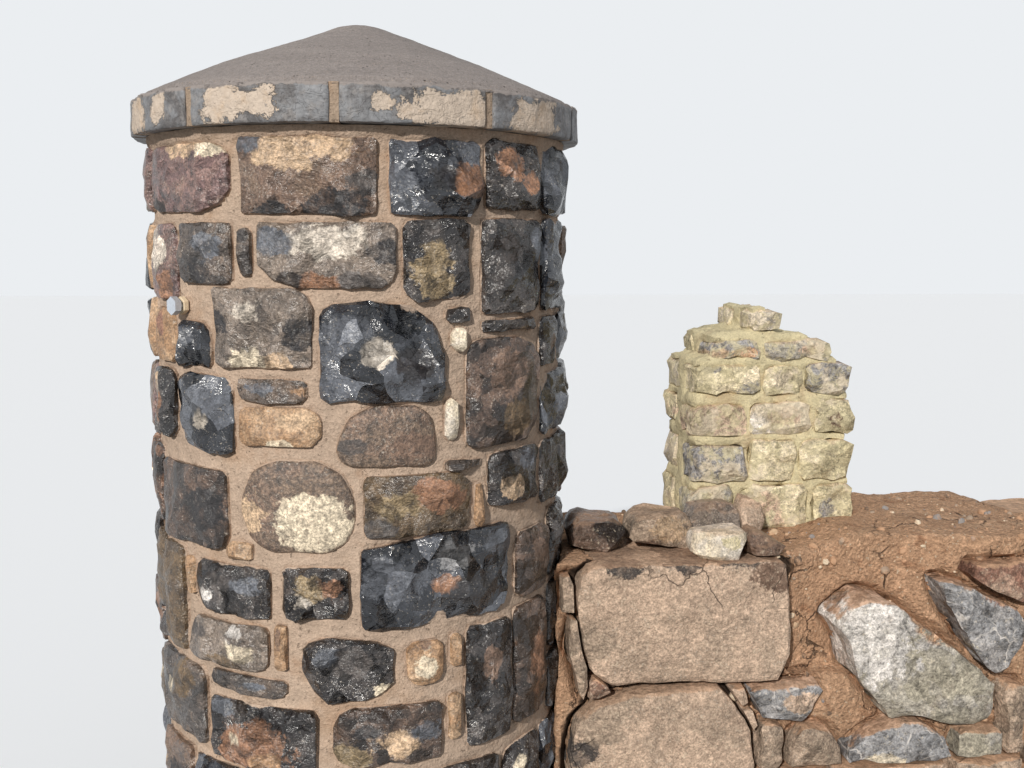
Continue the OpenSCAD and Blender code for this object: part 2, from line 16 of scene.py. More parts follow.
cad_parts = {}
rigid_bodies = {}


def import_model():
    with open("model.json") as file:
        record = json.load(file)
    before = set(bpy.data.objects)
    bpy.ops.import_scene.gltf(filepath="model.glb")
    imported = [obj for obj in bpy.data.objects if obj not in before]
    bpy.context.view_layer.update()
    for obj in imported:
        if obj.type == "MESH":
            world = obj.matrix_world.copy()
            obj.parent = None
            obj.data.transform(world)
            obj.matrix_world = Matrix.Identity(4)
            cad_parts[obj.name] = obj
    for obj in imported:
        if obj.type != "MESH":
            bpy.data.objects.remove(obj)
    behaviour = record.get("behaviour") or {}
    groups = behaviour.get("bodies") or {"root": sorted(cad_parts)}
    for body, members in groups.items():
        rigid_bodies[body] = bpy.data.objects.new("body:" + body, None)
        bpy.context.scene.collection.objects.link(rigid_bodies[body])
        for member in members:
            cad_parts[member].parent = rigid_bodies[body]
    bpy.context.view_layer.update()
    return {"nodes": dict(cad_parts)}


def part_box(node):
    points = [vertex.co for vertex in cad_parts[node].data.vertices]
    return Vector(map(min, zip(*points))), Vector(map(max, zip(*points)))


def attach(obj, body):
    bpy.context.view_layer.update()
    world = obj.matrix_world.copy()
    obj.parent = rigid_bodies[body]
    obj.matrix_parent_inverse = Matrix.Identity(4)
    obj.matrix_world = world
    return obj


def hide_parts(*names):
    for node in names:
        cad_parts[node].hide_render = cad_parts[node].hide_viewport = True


bl_info = {
    "name": "Rubble wall and round pillar",
    "version": (1, 0, 0),
    "blender": (4, 5, 0),
    "location": "3D View > Sidebar > Masonry",
    "description": "Dresses the wall, its pillar, the coping and the cap with their stones and mortar",
    "category": "Object",
}

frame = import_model()
BODY = "root"


def srgb(red, green, blue):
    """A colour written as a picture shows it, in the linear values that a shader takes."""
    def linear(level):
        share = level / 255
        return share / 12.92 if share <= 0.04045 else ((share + 0.055) / 1.055) ** 2.4
    return (linear(red), linear(green), linear(blue), 1.0)


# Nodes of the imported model
LIFTS = [f"pillar_mortar_{k}" for k in range(1, 7)]
PILLAR_COURSES = [f"pillar_course_{k:02d}" for k in range(1, 13)]
FRONT_COURSES = [f"wall_front_course_{k}" for k in range(1, 6)]
BACK_COURSES = [f"wall_back_course_{k}" for k in range(1, 6)]
HEARTINGS = ["hearting_near", "hearting_lower", "hearting_upper"]

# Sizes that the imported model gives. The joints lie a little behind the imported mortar, because the
# swells of their surface stand proud of it.
JOINT_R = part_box(LIFTS[0])[1].x - 0.002
SHAFT_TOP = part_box(LIFTS[-1])[1].z
COPING_LOW, COPING_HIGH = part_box("coping_stones")
CAP_LOW, CAP_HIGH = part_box("mortar_cap")
CAP_R = CAP_HIGH.x
WALL_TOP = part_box("upper_block")[1].z

# Colours of the stones and of what lies on them, and of the earth and the bolt
COLOURS = {
    "blue_black": srgb(34, 37, 44),
    # Painted sheen: a gray-blue that stands for the sky mirrored on the wet dark stones. The coping's
    # pale beds take it as a plain slate tone.
    "slate_and_painted_sheen": srgb(92, 95, 102),
    "black": srgb(34, 31, 32),
    "charcoal": srgb(76, 70, 67),
    "brown": srgb(116, 94, 80),
    "umber": srgb(47, 39, 35),
    "olive": srgb(106, 87, 64),
    "plum": srgb(119, 94, 91),
    "gray_brown": srgb(110, 93, 79),
    "silver_brown": srgb(138, 124, 112),
    "buff": srgb(196, 168, 138),
    "cream": srgb(220, 205, 180),
    "white": srgb(214, 208, 202),
    "rust": srgb(140, 103, 79),
    "ochre": srgb(138, 120, 92),
    "tan": srgb(160, 126, 95),
    "sand": srgb(198, 172, 150),
    "dun": srgb(162, 143, 125),
    "gray": srgb(142, 138, 136),
    "gray_green": srgb(178, 170, 152),
    "blue_gray": srgb(156, 155, 156),
    "red_brown": srgb(142, 106, 90),
    "straw": srgb(206, 194, 158),
    # Painted glints: bright spots and patches that stand for highlights on the stones
    "painted_glint": srgb(206, 195, 181),
    "soil": srgb(184, 147, 117),
    # Painted shade, for the stones' deepest hollows and the gap round the blocks
    "painted_crevice_shade": srgb(36, 31, 29),
    "dry_earth": srgb(216, 180, 148),
    "damp_earth": srgb(142, 98, 70),
    "zinc": srgb(226, 232, 240),
    "zinc_shade": srgb(186, 194, 204),
    "zinc_stain": srgb(150, 140, 126),
    "bare_steel": srgb(140, 142, 144),
    "lime": srgb(226, 206, 176),
}

# What a stone is like: its two colours, how rough it is, how deep its flakes are, how many facets
# are broken off its rim, how coarse its grain is, how wrinkled its face is and how strong its veins
Look = namedtuple("Look", "tone fleck rough flake chips grain wrinkle veins", defaults=(1.0, 0.0))
LOOKS = {
    "blue_black": Look("blue_black", "slate_and_painted_sheen", 0.2, 0.014, 4, 0.0003, wrinkle=0.35),
    "black": Look("black", "charcoal", 0.24, 0.011, 3, 0.0006),
    "charcoal": Look("charcoal", "gray_brown", 0.3, 0.008, 2, 0.001),
    "brown": Look("brown", "gray_brown", 0.3, 0.008, 2, 0.001),
    "umber": Look("umber", "brown", 0.32, 0.008, 2, 0.0012),
    "olive": Look("olive", "umber", 0.34, 0.007, 2, 0.0012),
    "plum": Look("plum", "brown", 0.32, 0.006, 1, 0.001, wrinkle=1.5),
    "silver": Look("silver_brown", "charcoal", 0.28, 0.008, 2, 0.001),
    "rust": Look("umber", "rust", 0.32, 0.01, 2, 0.001),
    "cobble": Look("gray_brown", "brown", 0.5, 0.0, 0, 0.002, wrinkle=1.7),
    "tan": Look("tan", "buff", 0.6, 0.003, 1, 0.0012, wrinkle=1.2),
    "cream": Look("cream", "white", 0.7, 0.004, 1, 0.001),
    "sand": Look("sand", "dun", 0.85, 0.003, 3, 0.0012),
    "dun": Look("dun", "sand", 0.85, 0.007, 3, 0.0015),
    "gray": Look("gray", "blue_gray", 0.7, 0.01, 3, 0.001, veins=0.4),
    "gray_green": Look("gray_green", "gray", 0.7, 0.009, 3, 0.0012),
    "blue_gray": Look("blue_gray", "gray", 0.5, 0.012, 4, 0.0008, veins=1.0),
    "red_brown": Look("red_brown", "dun", 0.8, 0.009, 3, 0.0012),
    "straw": Look("straw", "cream", 0.85, 0.008, 3, 0.0016),
}
DEEPEST_FLAKE = max(look.flake for look in LOOKS.values())
# The looks that a stone is given where nothing is planned for it. A look that stands twice is
# twice as common.
PILLAR_LOOKS = ["blue_black", "black", "charcoal", "brown", "umber", "rust", "plum", "olive", "black",
                "blue_black"]
WALL_LOOKS = ["sand", "dun", "gray", "sand", "gray_green", "red_brown", "dun"]
STUB_LOOKS = ["straw", "gray", "dun", "straw", "cream", "gray_green"]

# The stones that face the camera, left to right in each course.
# Each is a look, or a look and its patches. A patch is (place across, place up, reach, colour), where
# the stone runs from -1 to 1 both ways.
# The gray-blue sheen patches and the glint patches below are painted reflection and painted highlights,
# and so is the small white patch on the fourth stone of course 07.
SEEN_LOOKS = {
    "pillar_course_12": [
        "plum",
        ("plum", (0.1, 0.95, 0.55, "buff"), (0.7, 0.75, 0.4, "cream"), (-0.7, -0.8, 0.4, "umber")),
        ("brown", (-0.85, 0.8, 0.4, "slate_and_painted_sheen"), (-0.3, 0.6, 0.7, "buff"), (0.4, 0.75, 0.5, "buff"),
         (0.9, -0.1, 0.4, "charcoal"), (0.4, -0.8, 0.6, "black"), (-0.5, -0.95, 0.4, "black")),
        ("blue_black", (0.1, 0.0, 0.5, "black"), (0.6, -0.05, 0.55, "rust"),
         (-0.75, -0.1, 0.5, "slate_and_painted_sheen")),
        ("black", (-0.3, 0.3, 0.6, "rust"), (0.45, -0.2, 0.45, "rust")),
        ("blue_black", (0.2, 0.3, 0.4, "slate_and_painted_sheen"))],
    "pillar_course_11": [
        "tan",
        ("plum", (-0.2, 0.3, 0.7, "painted_glint"), (0.3, -0.6, 0.6, "rust")),
        ("charcoal", (0.3, 0.3, 0.6, "slate_and_painted_sheen"), (0.0, -0.6, 0.5, "black")),
        "charcoal",
        ("silver", (-0.75, 0.4, 0.5, "slate_and_painted_sheen"), (0.05, 0.4, 0.75, "painted_glint"),
         (0.85, 0.1, 0.45, "black"), (-0.5, -0.8, 0.4, "umber"), (-0.1, -0.9, 0.5, "rust"),
         (0.5, -0.85, 0.5, "charcoal")),
        ("black", (-0.2, -0.3, 0.85, "ochre"), (-0.3, 0.85, 0.4, "charcoal")),
        ("black", (-0.3, 0.4, 0.4, "umber"), (0.8, 0.5, 0.4, "slate_and_painted_sheen")),
        ("blue_black", (0.0, 0.4, 0.3, "slate_and_painted_sheen"))],
    "pillar_course_10": [
        "tan",
        ("tan", (0.0, 0.4, 0.6, "red_brown")),
        ("blue_black", (-0.2, 0.4, 0.5, "slate_and_painted_sheen")),
        ("silver", (-0.95, 0.1, 0.5, "black"), (0.85, -0.1, 0.5, "black"), (-0.2, -0.9, 0.55, "cream"),
         (0.35, -0.9, 0.4, "buff"), (-0.2, 0.4, 0.4, "painted_glint")),
        ("blue_black", (-0.6, 0.4, 0.5, "slate_and_painted_sheen"), (-0.1, 0.0, 0.35, "painted_glint"),
         (0.5, -0.2, 0.5, "black")),
        "cream",
        "black",
        ("black", (0.2, 0.1, 0.7, "umber"), (0.4, -0.4, 0.3, "olive")),
        ("black", (0.0, 0.0, 0.5, "brown")),
        "blue_black"],
    "pillar_course_09": [
        "plum",
        ("black", (0.0, -0.3, 0.7, "rust"), (-0.3, 0.5, 0.4, "buff")),
        ("blue_black", (0.1, 0.2, 0.7, "slate_and_painted_sheen"), (0.1, -0.1, 0.45, "painted_glint")),
        ("charcoal", (-0.3, 0.2, 0.6, "slate_and_painted_sheen"), (0.85, 0.0, 0.3, "tan")),
        ("tan", (0.1, -0.95, 0.45, "cream"), (0.5, 0.3, 0.6, "buff")),
        ("cobble", (0.6, -0.3, 0.6, "brown"), (-0.7, -0.3, 0.4, "charcoal")),
        "cream",
        ("umber", (0.0, 0.3, 0.6, "brown"), (0.2, -0.5, 0.5, "olive")),
        "blue_black"],
    "pillar_course_08": [
        "rust",
        ("umber", (0.5, 0.0, 0.6, "black"), (-0.3, 0.6, 0.4, "charcoal")),
        ("cobble", (0.3, -0.35, 0.9, "cream"), (-0.9, -0.2, 0.6, "buff")),
        ("olive", (0.3, 0.3, 0.7, "rust"), (-0.75, -0.7, 0.4, "charcoal"), (-0.3, 0.1, 0.6, "ochre")),
        "charcoal",
        "tan",
        ("black", (-0.2, -0.3, 0.6, "buff"), (0.4, 0.5, 0.5, "slate_and_painted_sheen")),
        "black"],
    "pillar_course_07": [
        "olive",
        "olive",
        "tan",
        ("black", (0.5, 0.3, 0.5, "slate_and_painted_sheen"), (-0.6, -0.3, 0.25, "white"),
         (-0.2, 0.3, 0.5, "charcoal")),
        "tan",
        ("black", (-0.1, 0.3, 0.7, "ochre"), (0.5, 0.35, 0.5, "rust"), (-0.3, -0.2, 0.35, "painted_glint")),
        ("blue_black", (-0.6, 0.1, 0.6, "slate_and_painted_sheen"), (0.1, 0.5, 0.4, "blue_gray"),
         (0.8, 0.6, 0.35, "slate_and_painted_sheen"), (0.35, -0.3, 0.45, "black"), (0.0, -0.1, 0.25, "rust")),
        ("umber", (0.0, 0.3, 0.6, "brown")),
        "black"],
    "pillar_course_06": [
        "black",
        ("silver", (0.4, -0.2, 0.45, "cream"), (-0.8, 0.3, 0.5, "charcoal"), (0.3, 0.6, 0.3, "white"),
         (0.0, -0.7, 0.5, "olive")),
        ("charcoal", (0.2, 0.2, 0.5, "slate_and_painted_sheen")),
        ("tan", (0.0, 0.5, 0.6, "brown")),
        ("black", (0.1, 0.3, 0.6, "charcoal"), (0.85, -0.6, 0.4, "cream"),
         (-0.5, 0.5, 0.4, "slate_and_painted_sheen")),
        ("tan", (0.0, -0.1, 0.8, "cream"), (0.0, 0.9, 0.4, "brown")),
        "tan",
        ("black", (-0.3, 0.3, 0.5, "slate_and_painted_sheen"))],
    "pillar_course_05": [
        ("charcoal", (-0.2, 0.1, 0.25, "cream"), (0.3, 0.5, 0.6, "olive")),
        ("black", (-0.1, -0.3, 1.0, "rust"), (-0.35, -0.2, 0.45, "cream"), (0.1, -0.6, 0.6, "tan"),
         (-0.7, 0.7, 0.4, "slate_and_painted_sheen")),
        ("umber", (-0.4, 0.2, 0.4, "black"), (0.05, -0.2, 0.6, "buff"), (-0.7, -0.6, 0.5, "ochre"),
         (0.7, 0.1, 0.5, "slate_and_painted_sheen")),
        "tan",
        ("black", (0.0, 0.3, 0.5, "brown")),
        ("umber", (0.2, 0.0, 0.7, "rust")),
        "black"],
}
# A pillar stone counts as facing the camera up to this many degrees from the front
SEEN_HALF_ANGLE = 78.0

# The wall's stones that face the camera: place along the wall and above the ground, and the look
SEEN_WALL = [
    # The first stone's dark patches along its top edge are painted shade
    (0.665, 0.745, ("sand", (0.85, 0.75, 0.4, "brown"), (-0.95, -0.3, 0.4, "dun"),
                    (-0.6, 1.0, 0.3, "charcoal"), (0.0, 1.05, 0.3, "charcoal"),
                    (0.5, 1.05, 0.3, "charcoal"))),
    (0.62, 0.47, ("sand", (-0.75, 0.5, 0.6, "dun"), (-0.95, 0.0, 0.4, "charcoal"),
                  (-0.4, 0.95, 0.3, "dun"))),
    (1.2, 0.62, ("gray_green", (-0.6, 0.45, 0.85, "white"), (0.2, 0.8, 0.6, "soil"))),
    (1.33, 0.7, ("blue_gray", (0.3, 0.9, 0.5, "red_brown"), (-0.5, -0.6, 0.5, "gray_green"))),
    (1.15, 0.45, ("blue_gray", (-0.3, -0.9, 0.5, "cream"))),
    (1.13, 0.375, "sand"), (1.34, 0.44, "gray_green"), (1.36, 0.375, "dun"), (1.42, 0.49, "dun"),
    (1.37, 0.8, "red_brown"), (0.89, 0.55, ("blue_gray", (0.4, 0.1, 0.7, "sand"))),
    (0.435, 0.67, "dun"), (0.412, 0.81, "dun"), (0.485, 0.6, "red_brown"),
    (0.785, 0.57, "sand"), (0.86, 0.46, "dun"), (0.96, 0.45, "dun"), (0.91, 0.375, "sand"),
]
# The loose stones on the wall: place along and across the wall, and the look
SEEN_TOP = [
    # The stone nearest the pillar has the dark umber look: painted shade
    (0.498, 0.025, "umber"), (0.642, 0.02, ("dun", (0.2, 0.2, 0.8, "buff"), (-0.5, -0.6, 0.4, "brown"))),
    (0.77, 0.023, "silver"), (0.742, -0.114, ("cream", (0.3, 0.2, 0.5, "straw"))),
    (0.846, -0.095, "brown"), (0.856, 0.02, "sand"),
]
# Colours of the patches on the stones that nothing is planned for
PILLAR_STRAYS = ["rust", "buff", "slate_and_painted_sheen", "charcoal", "brown", "cream", "black"]
WALL_STRAYS = ["sand", "buff", "gray", "soil", "brown", "cream", "dun"]
# A planned place belongs to the stone whose middle is nearer to it than this
NEAR_ENOUGH = 0.07

# Where the coping's sawn faces have flaked to a pale bed: the direction in degrees from the front,
# half the width in degrees, the height as a share of the stone's, and half the height
COPING_PATCHES = [
    (-66, 7, 0.5, 0.75), (-52, 4, 0.55, 0.5), (-31, 7, 0.5, 0.75), (-24, 8, 0.5, 0.5), (5, 4, 0.5, 0.4),
    (20, 13, 0.4, 0.65), (11, 5, 0.3, 0.3), (46, 14, 0.5, 0.75), (98, 14, 0.5, 0.7), (141, 11, 0.4, 0.6),
    (176, 15, 0.6, 0.65), (-152, 10, 0.5, 0.7), (-118, 12, 0.45, 0.6), (-88, 7, 0.6, 0.6),
]

# How far below the coping the pillar's mortar starts to swell out
HAUNCH_DROP = 0.03
# How far the mortar looks for a stone, and how far it sinks where it lies inside one
STONE_SEARCH, SINK = 0.03, 0.006
# The cap's rim: its width and height, how far it is pressed out and down, and where it ends
RIM_WIDTH, RIM_HEIGHT, RIM_OUT, RIM_DOWN, RIM_END = 0.02, 0.014, 0.002, 0.006, 0.007
# Rounding of the edges of a broken stone and of a worn one
BROKEN_EDGE, WORN_EDGE = 0.004, 0.02
# Spacing of the points on the cap, the earth and the stub's mortar
CAP_GRID = 0.0075
EARTH_GRID = 0.0095
STUB_GRID = 0.008
# How much of a stone is kept behind its face, where the mortar or the hearting hides the rest
PILLAR_STONE_KEPT = 0.05
WALL_STONE_KEPT = 0.07
# A loose stone is broken all over, by more and deeper facets that lean up to this many degrees
LOOSE_CHIPS = 7
LOOSE_CHIP_DEPTH = 2
LOOSE_SPREAD = 110
# Radius of the smallest pebble, and how much bigger the biggest one is
PEBBLE_R, PEBBLE_GROWTH = 0.002, 0.009
# Where the earth's face lies open: from and to along the wall, how low, and how far back it counts
OPEN_FROM, OPEN_TO, OPEN_LOW, OPEN_FACE = 0.75, 1.6, 0.36, -0.05
# How much the earth must lean up or to the front where a pebble lies, and how far below the wall's
# top one may lie that is on top
PEBBLE_LEAN, PEBBLE_DROP = 0.35, 0.03
# The camera's place, and how far it is turned right, down and round, in radians
EYE = (0, -2.38, 1.53)
YAW, PITCH, ROLL = 0.1343, 0.1267, 0.0042

FRONT = Vector((0, -1, 0))
BACK = Vector((0, 1, 0))
FAR_END = Vector((1, 0, 0))


class StoneSettings(bpy.types.PropertyGroup):
    """Sizes that shape the stones."""

    pillar_grid: FloatProperty(
        name="Pillar stone detail",
        description="Spacing of the points that a pillar stone is carved from",
        default=0.005, min=0.003, max=0.01, unit="LENGTH")
    wall_grid: FloatProperty(
        name="Wall stone detail", description="Spacing of the points that a wall stone is carved from",
        default=0.0065, min=0.004, max=0.015, unit="LENGTH")
    chip_depth: FloatProperty(
        name="Chip depth", description="Depth of the facets that are broken off a stone's rim",
        default=0.009, min=0.0, max=0.03, unit="LENGTH")
    facets: FloatProperty(
        name="Facet share",
        description="Part of the carved faces that are left as a broken stone's facets",
        default=0.065, min=0.03, max=0.3, subtype="FACTOR")


class MortarSettings(bpy.types.PropertyGroup):
    """Sizes and colours of the mortar, the cap and the earth."""

    grid: FloatProperty(
        name="Mortar detail", description="Spacing of the points on the pillar's mortar",
        default=0.0078, min=0.005, max=0.02, unit="LENGTH")
    haunch: FloatProperty(
        name="Haunch", description="How far the mortar swells out just under the coping",
        default=0.011, min=0.0, max=0.02, unit="LENGTH")
    feather: FloatProperty(
        name="Feather width",
        description="Distance from a stone over which the mortar is drawn up to it",
        default=0.01, min=0.0, max=0.03, unit="LENGTH")
    lip: FloatProperty(
        name="Feather height", description="How far the mortar is drawn up at a stone's side",
        default=0.0035, min=0.0, max=0.012, unit="LENGTH")
    colour: FloatVectorProperty(
        name="Mortar", description="Colour of the mortar between the stones",
        default=srgb(186, 164, 145), size=4, min=0.0, max=1.0, subtype="COLOR")
    cap_colour: FloatVectorProperty(
        name="Cap", description="Colour of the mortar cap",
        default=srgb(146, 138, 134), size=4, min=0.0, max=1.0, subtype="COLOR")
    earth_colour: FloatVectorProperty(
        name="Earth", description="Colour of the earth in the wall",
        default=srgb(193, 155, 125), size=4, min=0.0, max=1.0, subtype="COLOR")
    gap: FloatProperty(
        name="Gap round stones", description="Width of the gap that the earth leaves round the stones",
        default=0.018, min=0.0, max=0.03, unit="LENGTH")
    pebbles: IntProperty(
        name="Pebbles", description="Number of pebbles that show in the earth",
        default=420, min=0, max=1500)


class CopingSettings(bpy.types.PropertyGroup):
    """Sizes and colours of the coping ring."""

    grid: FloatProperty(
        name="Coping detail", description="Size of the facets that a coping stone is carved in",
        default=0.004, min=0.003, max=0.01, unit="LENGTH")
    slate_colour: FloatVectorProperty(
        name="Slate", description="Colour of the coping's sawn faces",
        default=srgb(130, 131, 134), size=4, min=0.0, max=1.0, subtype="COLOR")
    bed_colour: FloatVectorProperty(
        name="Pale bed", description="Colour where the coping's faces have flaked",
        default=srgb(204, 188, 172), size=4, min=0.0, max=1.0, subtype="COLOR")


class StageSettings(bpy.types.PropertyGroup):
    """The floor, the light and the camera."""

    floor_colour: FloatVectorProperty(
        name="Floor", description="Colour of the floor as the camera sees it",
        default=srgb(246, 248, 250), size=4, min=0.0, max=1.0, subtype="COLOR")
    ground_colour: FloatVectorProperty(
        name="Ground", description="Colour of the floor in the light that it throws back at the object",
        default=srgb(120, 118, 114), size=4, min=0.0, max=1.0, subtype="COLOR")
    sky_colour: FloatVectorProperty(
        name="Backdrop", description="Colour behind the object",
        default=srgb(235, 238, 241), size=4, min=0.0, max=1.0, subtype="COLOR")
    fill: FloatProperty(
        name="Fill light", description="Strength of the light from all round",
        default=0.46, min=0.0, max=2.0)
    sun: FloatProperty(
        name="Sun", description="Strength of the sun",
        default=3.25, min=0.0, max=10.0)
    focal: FloatProperty(
        name="Focal length", description="Focal length of the camera, in millimetres on a 36 mm sensor",
        default=39.09, min=20.0, max=100.0, unit="CAMERA")


def deselect():
    """Nothing is selected, and nothing is in edit mode."""
    if bpy.context.object and bpy.context.object.mode != "OBJECT":
        bpy.ops.object.mode_set(mode="OBJECT")
    bpy.ops.object.select_all(action="DESELECT")


def pick(piece):
    """Only this piece is selected, and it is the active one."""
    deselect()
    piece.select_set(True)
    bpy.context.view_layer.objects.active = piece


def modify(piece, kind, **settings):
    """Adds a modifier and applies it."""
    pick(piece)
    modifier = piece.modifiers.new(kind.title(), kind)
    for name, value in settings.items():
        setattr(modifier, name, value)
    bpy.ops.object.modifier_apply(modifier=modifier.name)


def remesh(piece, grid):
    """Makes the piece anew as one skin of even faces."""
    modify(piece, "REMESH", mode="VOXEL", voxel_size=grid, use_smooth_shade=True)


def edit_all(piece):
    """Opens the piece for editing with all of it selected."""
    pick(piece)
    bpy.ops.object.mode_set(mode="EDIT")
    bpy.ops.mesh.select_all(action="SELECT")


def close_edit():
    """Leaves edit mode, so that the mesh takes up what was done to it."""
    bpy.ops.object.mode_set(mode="OBJECT")


def cad_copy(node, name):
    """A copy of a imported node's mesh with its corners merged."""
    source = frame["nodes"][node]
    piece = bpy.data.objects.new(name, source.data.copy())
    bpy.context.scene.collection.objects.link(piece)
    piece.data.materials.clear()
    edit_all(piece)
    bpy.ops.mesh.remove_doubles(threshold=0.00005)
    bpy.ops.mesh.dissolve_limited(angle_limit=math.radians(0.5))
    close_edit()
    return piece


def loose_parts(piece):
    """The piece split into the solids that it holds."""
    before = set(bpy.data.objects)
    edit_all(piece)
    bpy.ops.mesh.separate(type="LOOSE")
    close_edit()
    return [piece] + [o for o in bpy.data.objects if o not in before]


def join(parts, name):
    """The parts as one piece."""
    deselect()
    for part in parts:
        part.select_set(True)
    bpy.context.view_layer.objects.active = parts[0]
    bpy.ops.object.join()
    parts[0].name = name
    parts[0].data.name = name
    return parts[0]


def hand_over(piece, material, slot, *nodes, smooth=32):
    """Gives a finished piece its material, smooths its shading, puts it in the body and hides the
    imported nodes that it stands for.
    """
    piece.data.materials.append(material)
    pick(piece)
    bpy.ops.object.shade_smooth_by_angle(angle=math.radians(smooth))
    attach(piece, BODY)
    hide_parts(*nodes)


def middle(piece):
    """Middle of a piece's box."""
    corners = [Vector(c) for c in piece.bound_box]
    return (corners[0] + corners[6]) / 2


def angle_of(piece):
    """Direction of a piece from the pillar's axis, in degrees from the front towards +X."""
    centre = middle(piece)
    return math.degrees(math.atan2(centre.x, -centre.y))


def slice_off(piece, point, normal):
    """Cuts away what lies beyond a plane and closes the cut."""
    edit_all(piece)
    bpy.ops.mesh.bisect(plane_co=point, plane_no=normal, clear_outer=True, use_fill=True)
    close_edit()


def stand_on_ground(piece):
    """Flattens what a rough finish has pushed below the ground."""
    for vertex in piece.data.vertices:
        vertex.co.z = max(vertex.co.z, 0.0)


class Axes:
    """A stone's own directions: out of the face, along the course and up."""

    def __init__(self, out):
        self.out = out.normalized()
        self.up = Vector((0, 0, 1))
        self.along = self.up.cross(self.out)

    @staticmethod
    def reach(piece, direction):
        """How far a piece goes in a direction, as the furthest and the nearest value."""
        values = [v.co.dot(direction) for v in piece.data.vertices]
        return max(values), min(values)


def radial_axes(piece):
    """The directions of a stone that faces straight out from the pillar's axis."""
    centre = middle(piece)
    return Axes(Vector((centre.x, centre.y, 0)))


def scar_texture(name, size):
    """Bowls with sharp ridges between them, as struck flakes leave."""
    texture = bpy.data.textures.new(name, "VORONOI")
    texture.distance_metric = "DISTANCE_SQUARED"
    texture.noise_scale = size
    return texture


def cloud_texture(name, size, depth=2):
    """Soft lumps, as worn stone and laid mortar have."""
    texture = bpy.data.textures.new(name, "CLOUDS")
    texture.noise_scale = size
    texture.noise_depth = depth
    return texture


# The fill light is a little cool. The sun is a little warm, low and left of the camera, and its
# width softens the shadows.
FILL_COLOUR = (0.9, 0.94, 1.0, 1.0)
SUN_COLOUR = (1.0, 0.96, 0.9)
SUN_WIDTH = math.radians(2.5)
SUN_AZIMUTH = math.radians(-27)
SUN_HEIGHT = math.radians(26)
# This direction also paints the stones' facets lighter where they face the sun and darker where they
# face away: painted light and shade
TOWARDS_SUN = (math.sin(SUN_AZIMUTH) * math.cos(SUN_HEIGHT),
               -math.cos(SUN_AZIMUTH) * math.cos(SUN_HEIGHT), math.sin(SUN_HEIGHT))
TEXTURES = {}


def textures():
    """The patterns that push the surfaces in and out, made once."""
    if not TEXTURES:
        TEXTURES["scar"] = scar_texture("scar", 0.085)
        TEXTURES["scar_small"] = scar_texture("scar_small", 0.032)
        TEXTURES["lumps"] = cloud_texture("lumps", 0.05)
        TEXTURES["swells"] = cloud_texture("swells", 0.16)
        TEXTURES["grain"] = cloud_texture("grain", 0.008, 3)
        TEXTURES["sand"] = cloud_texture("sand", 0.014, 3)
        TEXTURES["crumbs"] = cloud_texture("crumbs", 0.022, 4)
    return TEXTURES


def push(piece, texture, strength, mid_level=0.5):
    """Moves a surface in and out by a pattern that is fixed in space."""
    modify(piece, "DISPLACE", texture=textures()[texture], texture_coords="LOCAL",
           strength=strength, mid_level=mid_level)


def chip(piece, axes, rng, count, depth, spread=28):
    """Breaks flat facets off the rim of a stone's face, or off all of it where they spread wider."""
    for _ in range(count):
        turn = rng.uniform(0, 2 * math.pi)
        tilt = math.radians(rng.uniform(10, spread))
        side = axes.along * math.cos(turn) + axes.up * math.sin(turn)
        normal = axes.out * math.cos(tilt) + side * math.sin(tilt)
        furthest, _ = axes.reach(piece, normal)
        slice_off(piece, normal * (furthest - depth * rng.uniform(0.4, 1.0)), normal)


def write(piece, name, values):
    """Writes a number for each of the piece's points into its mesh, for the shader to read."""
    piece.data.attributes.new(name, "FLOAT", "POINT").data.foreach_set("value", values)


def write_colour(piece, name, values):
    """Writes a colour for each of the piece's points into its mesh."""
    piece.data.attributes.new(name, "FLOAT_COLOR", "POINT").data.foreach_set("color", values)


def paint(piece, look, axes, patches):
    """Writes a stone's colours, its patches and its soil into the mesh, for the shader to read."""
    points = piece.data.vertices
    for name, shade in (("tone", look.tone), ("fleck", look.fleck)):
        write_colour(piece, name, list(COLOURS[shade]) * len(points))
    for name, value in (("stone_rough", look.rough), ("crag", look.flake / DEEPEST_FLAKE),
                        ("veins", look.veins), ("wrinkle", look.wrinkle)):
        write(piece, name, [value] * len(points))
    write(piece, "soil", [max(0.0, v.normal.z) for v in points])
    a_high, a_low = axes.reach(piece, axes.along)
    u_high, u_low = axes.reach(piece, axes.up)
    cover = []
    shades = []
    for vertex in points:
        across = (2 * vertex.co.dot(axes.along) - a_high - a_low) / (a_high - a_low)
        up = (2 * vertex.co.dot(axes.up) - u_high - u_low) / (u_high - u_low)
        most, shade = 0.0, look.tone
        for at, rise, reach, name in patches:
            value = 1.0 - math.hypot(across - at, up - rise) / reach
            if value > most:
                most, shade = value, name
        cover.append(most)
        shades.extend(COLOURS[shade])
    write(piece, "patch", cover)
    write_colour(piece, "patch_tone", shades)


def weigh_face(piece, axes):
    """Adds a vertex group that is full on a stone's face and weak on its sides, to keep its outline."""
    group = piece.vertex_groups.new(name="face")
    for vertex in piece.data.vertices:
        group.add([vertex.index], 0.15 + 0.85 * max(0.0, vertex.normal.dot(axes.out)), "REPLACE")


def flake(piece, depth, axes, rng):
    """Strikes bowls out of a stone's face, with a big and a small pattern turned at random."""
    pose = bpy.data.objects.new("flake_pose", None)
    bpy.context.scene.collection.objects.link(pose)
    pose.rotation_euler = [rng.uniform(0, 6) for _ in range(3)]
    pose.location = [rng.uniform(-1, 1) for _ in range(3)]
    pose.scale = [rng.uniform(0.7, 1.2), rng.uniform(0.5, 0.9), rng.uniform(0.9, 1.4)]
    bpy.context.view_layer.update()
    weigh_face(piece, axes)
    for texture, share in (("scar", 1.5), ("scar_small", 0.5)):
        modify(piece, "DISPLACE", texture=textures()[texture], texture_coords="OBJECT",
               texture_coords_object=pose, strength=depth * share, mid_level=0.1, vertex_group="face")
    piece.vertex_groups.clear()
    bpy.data.objects.remove(pose)


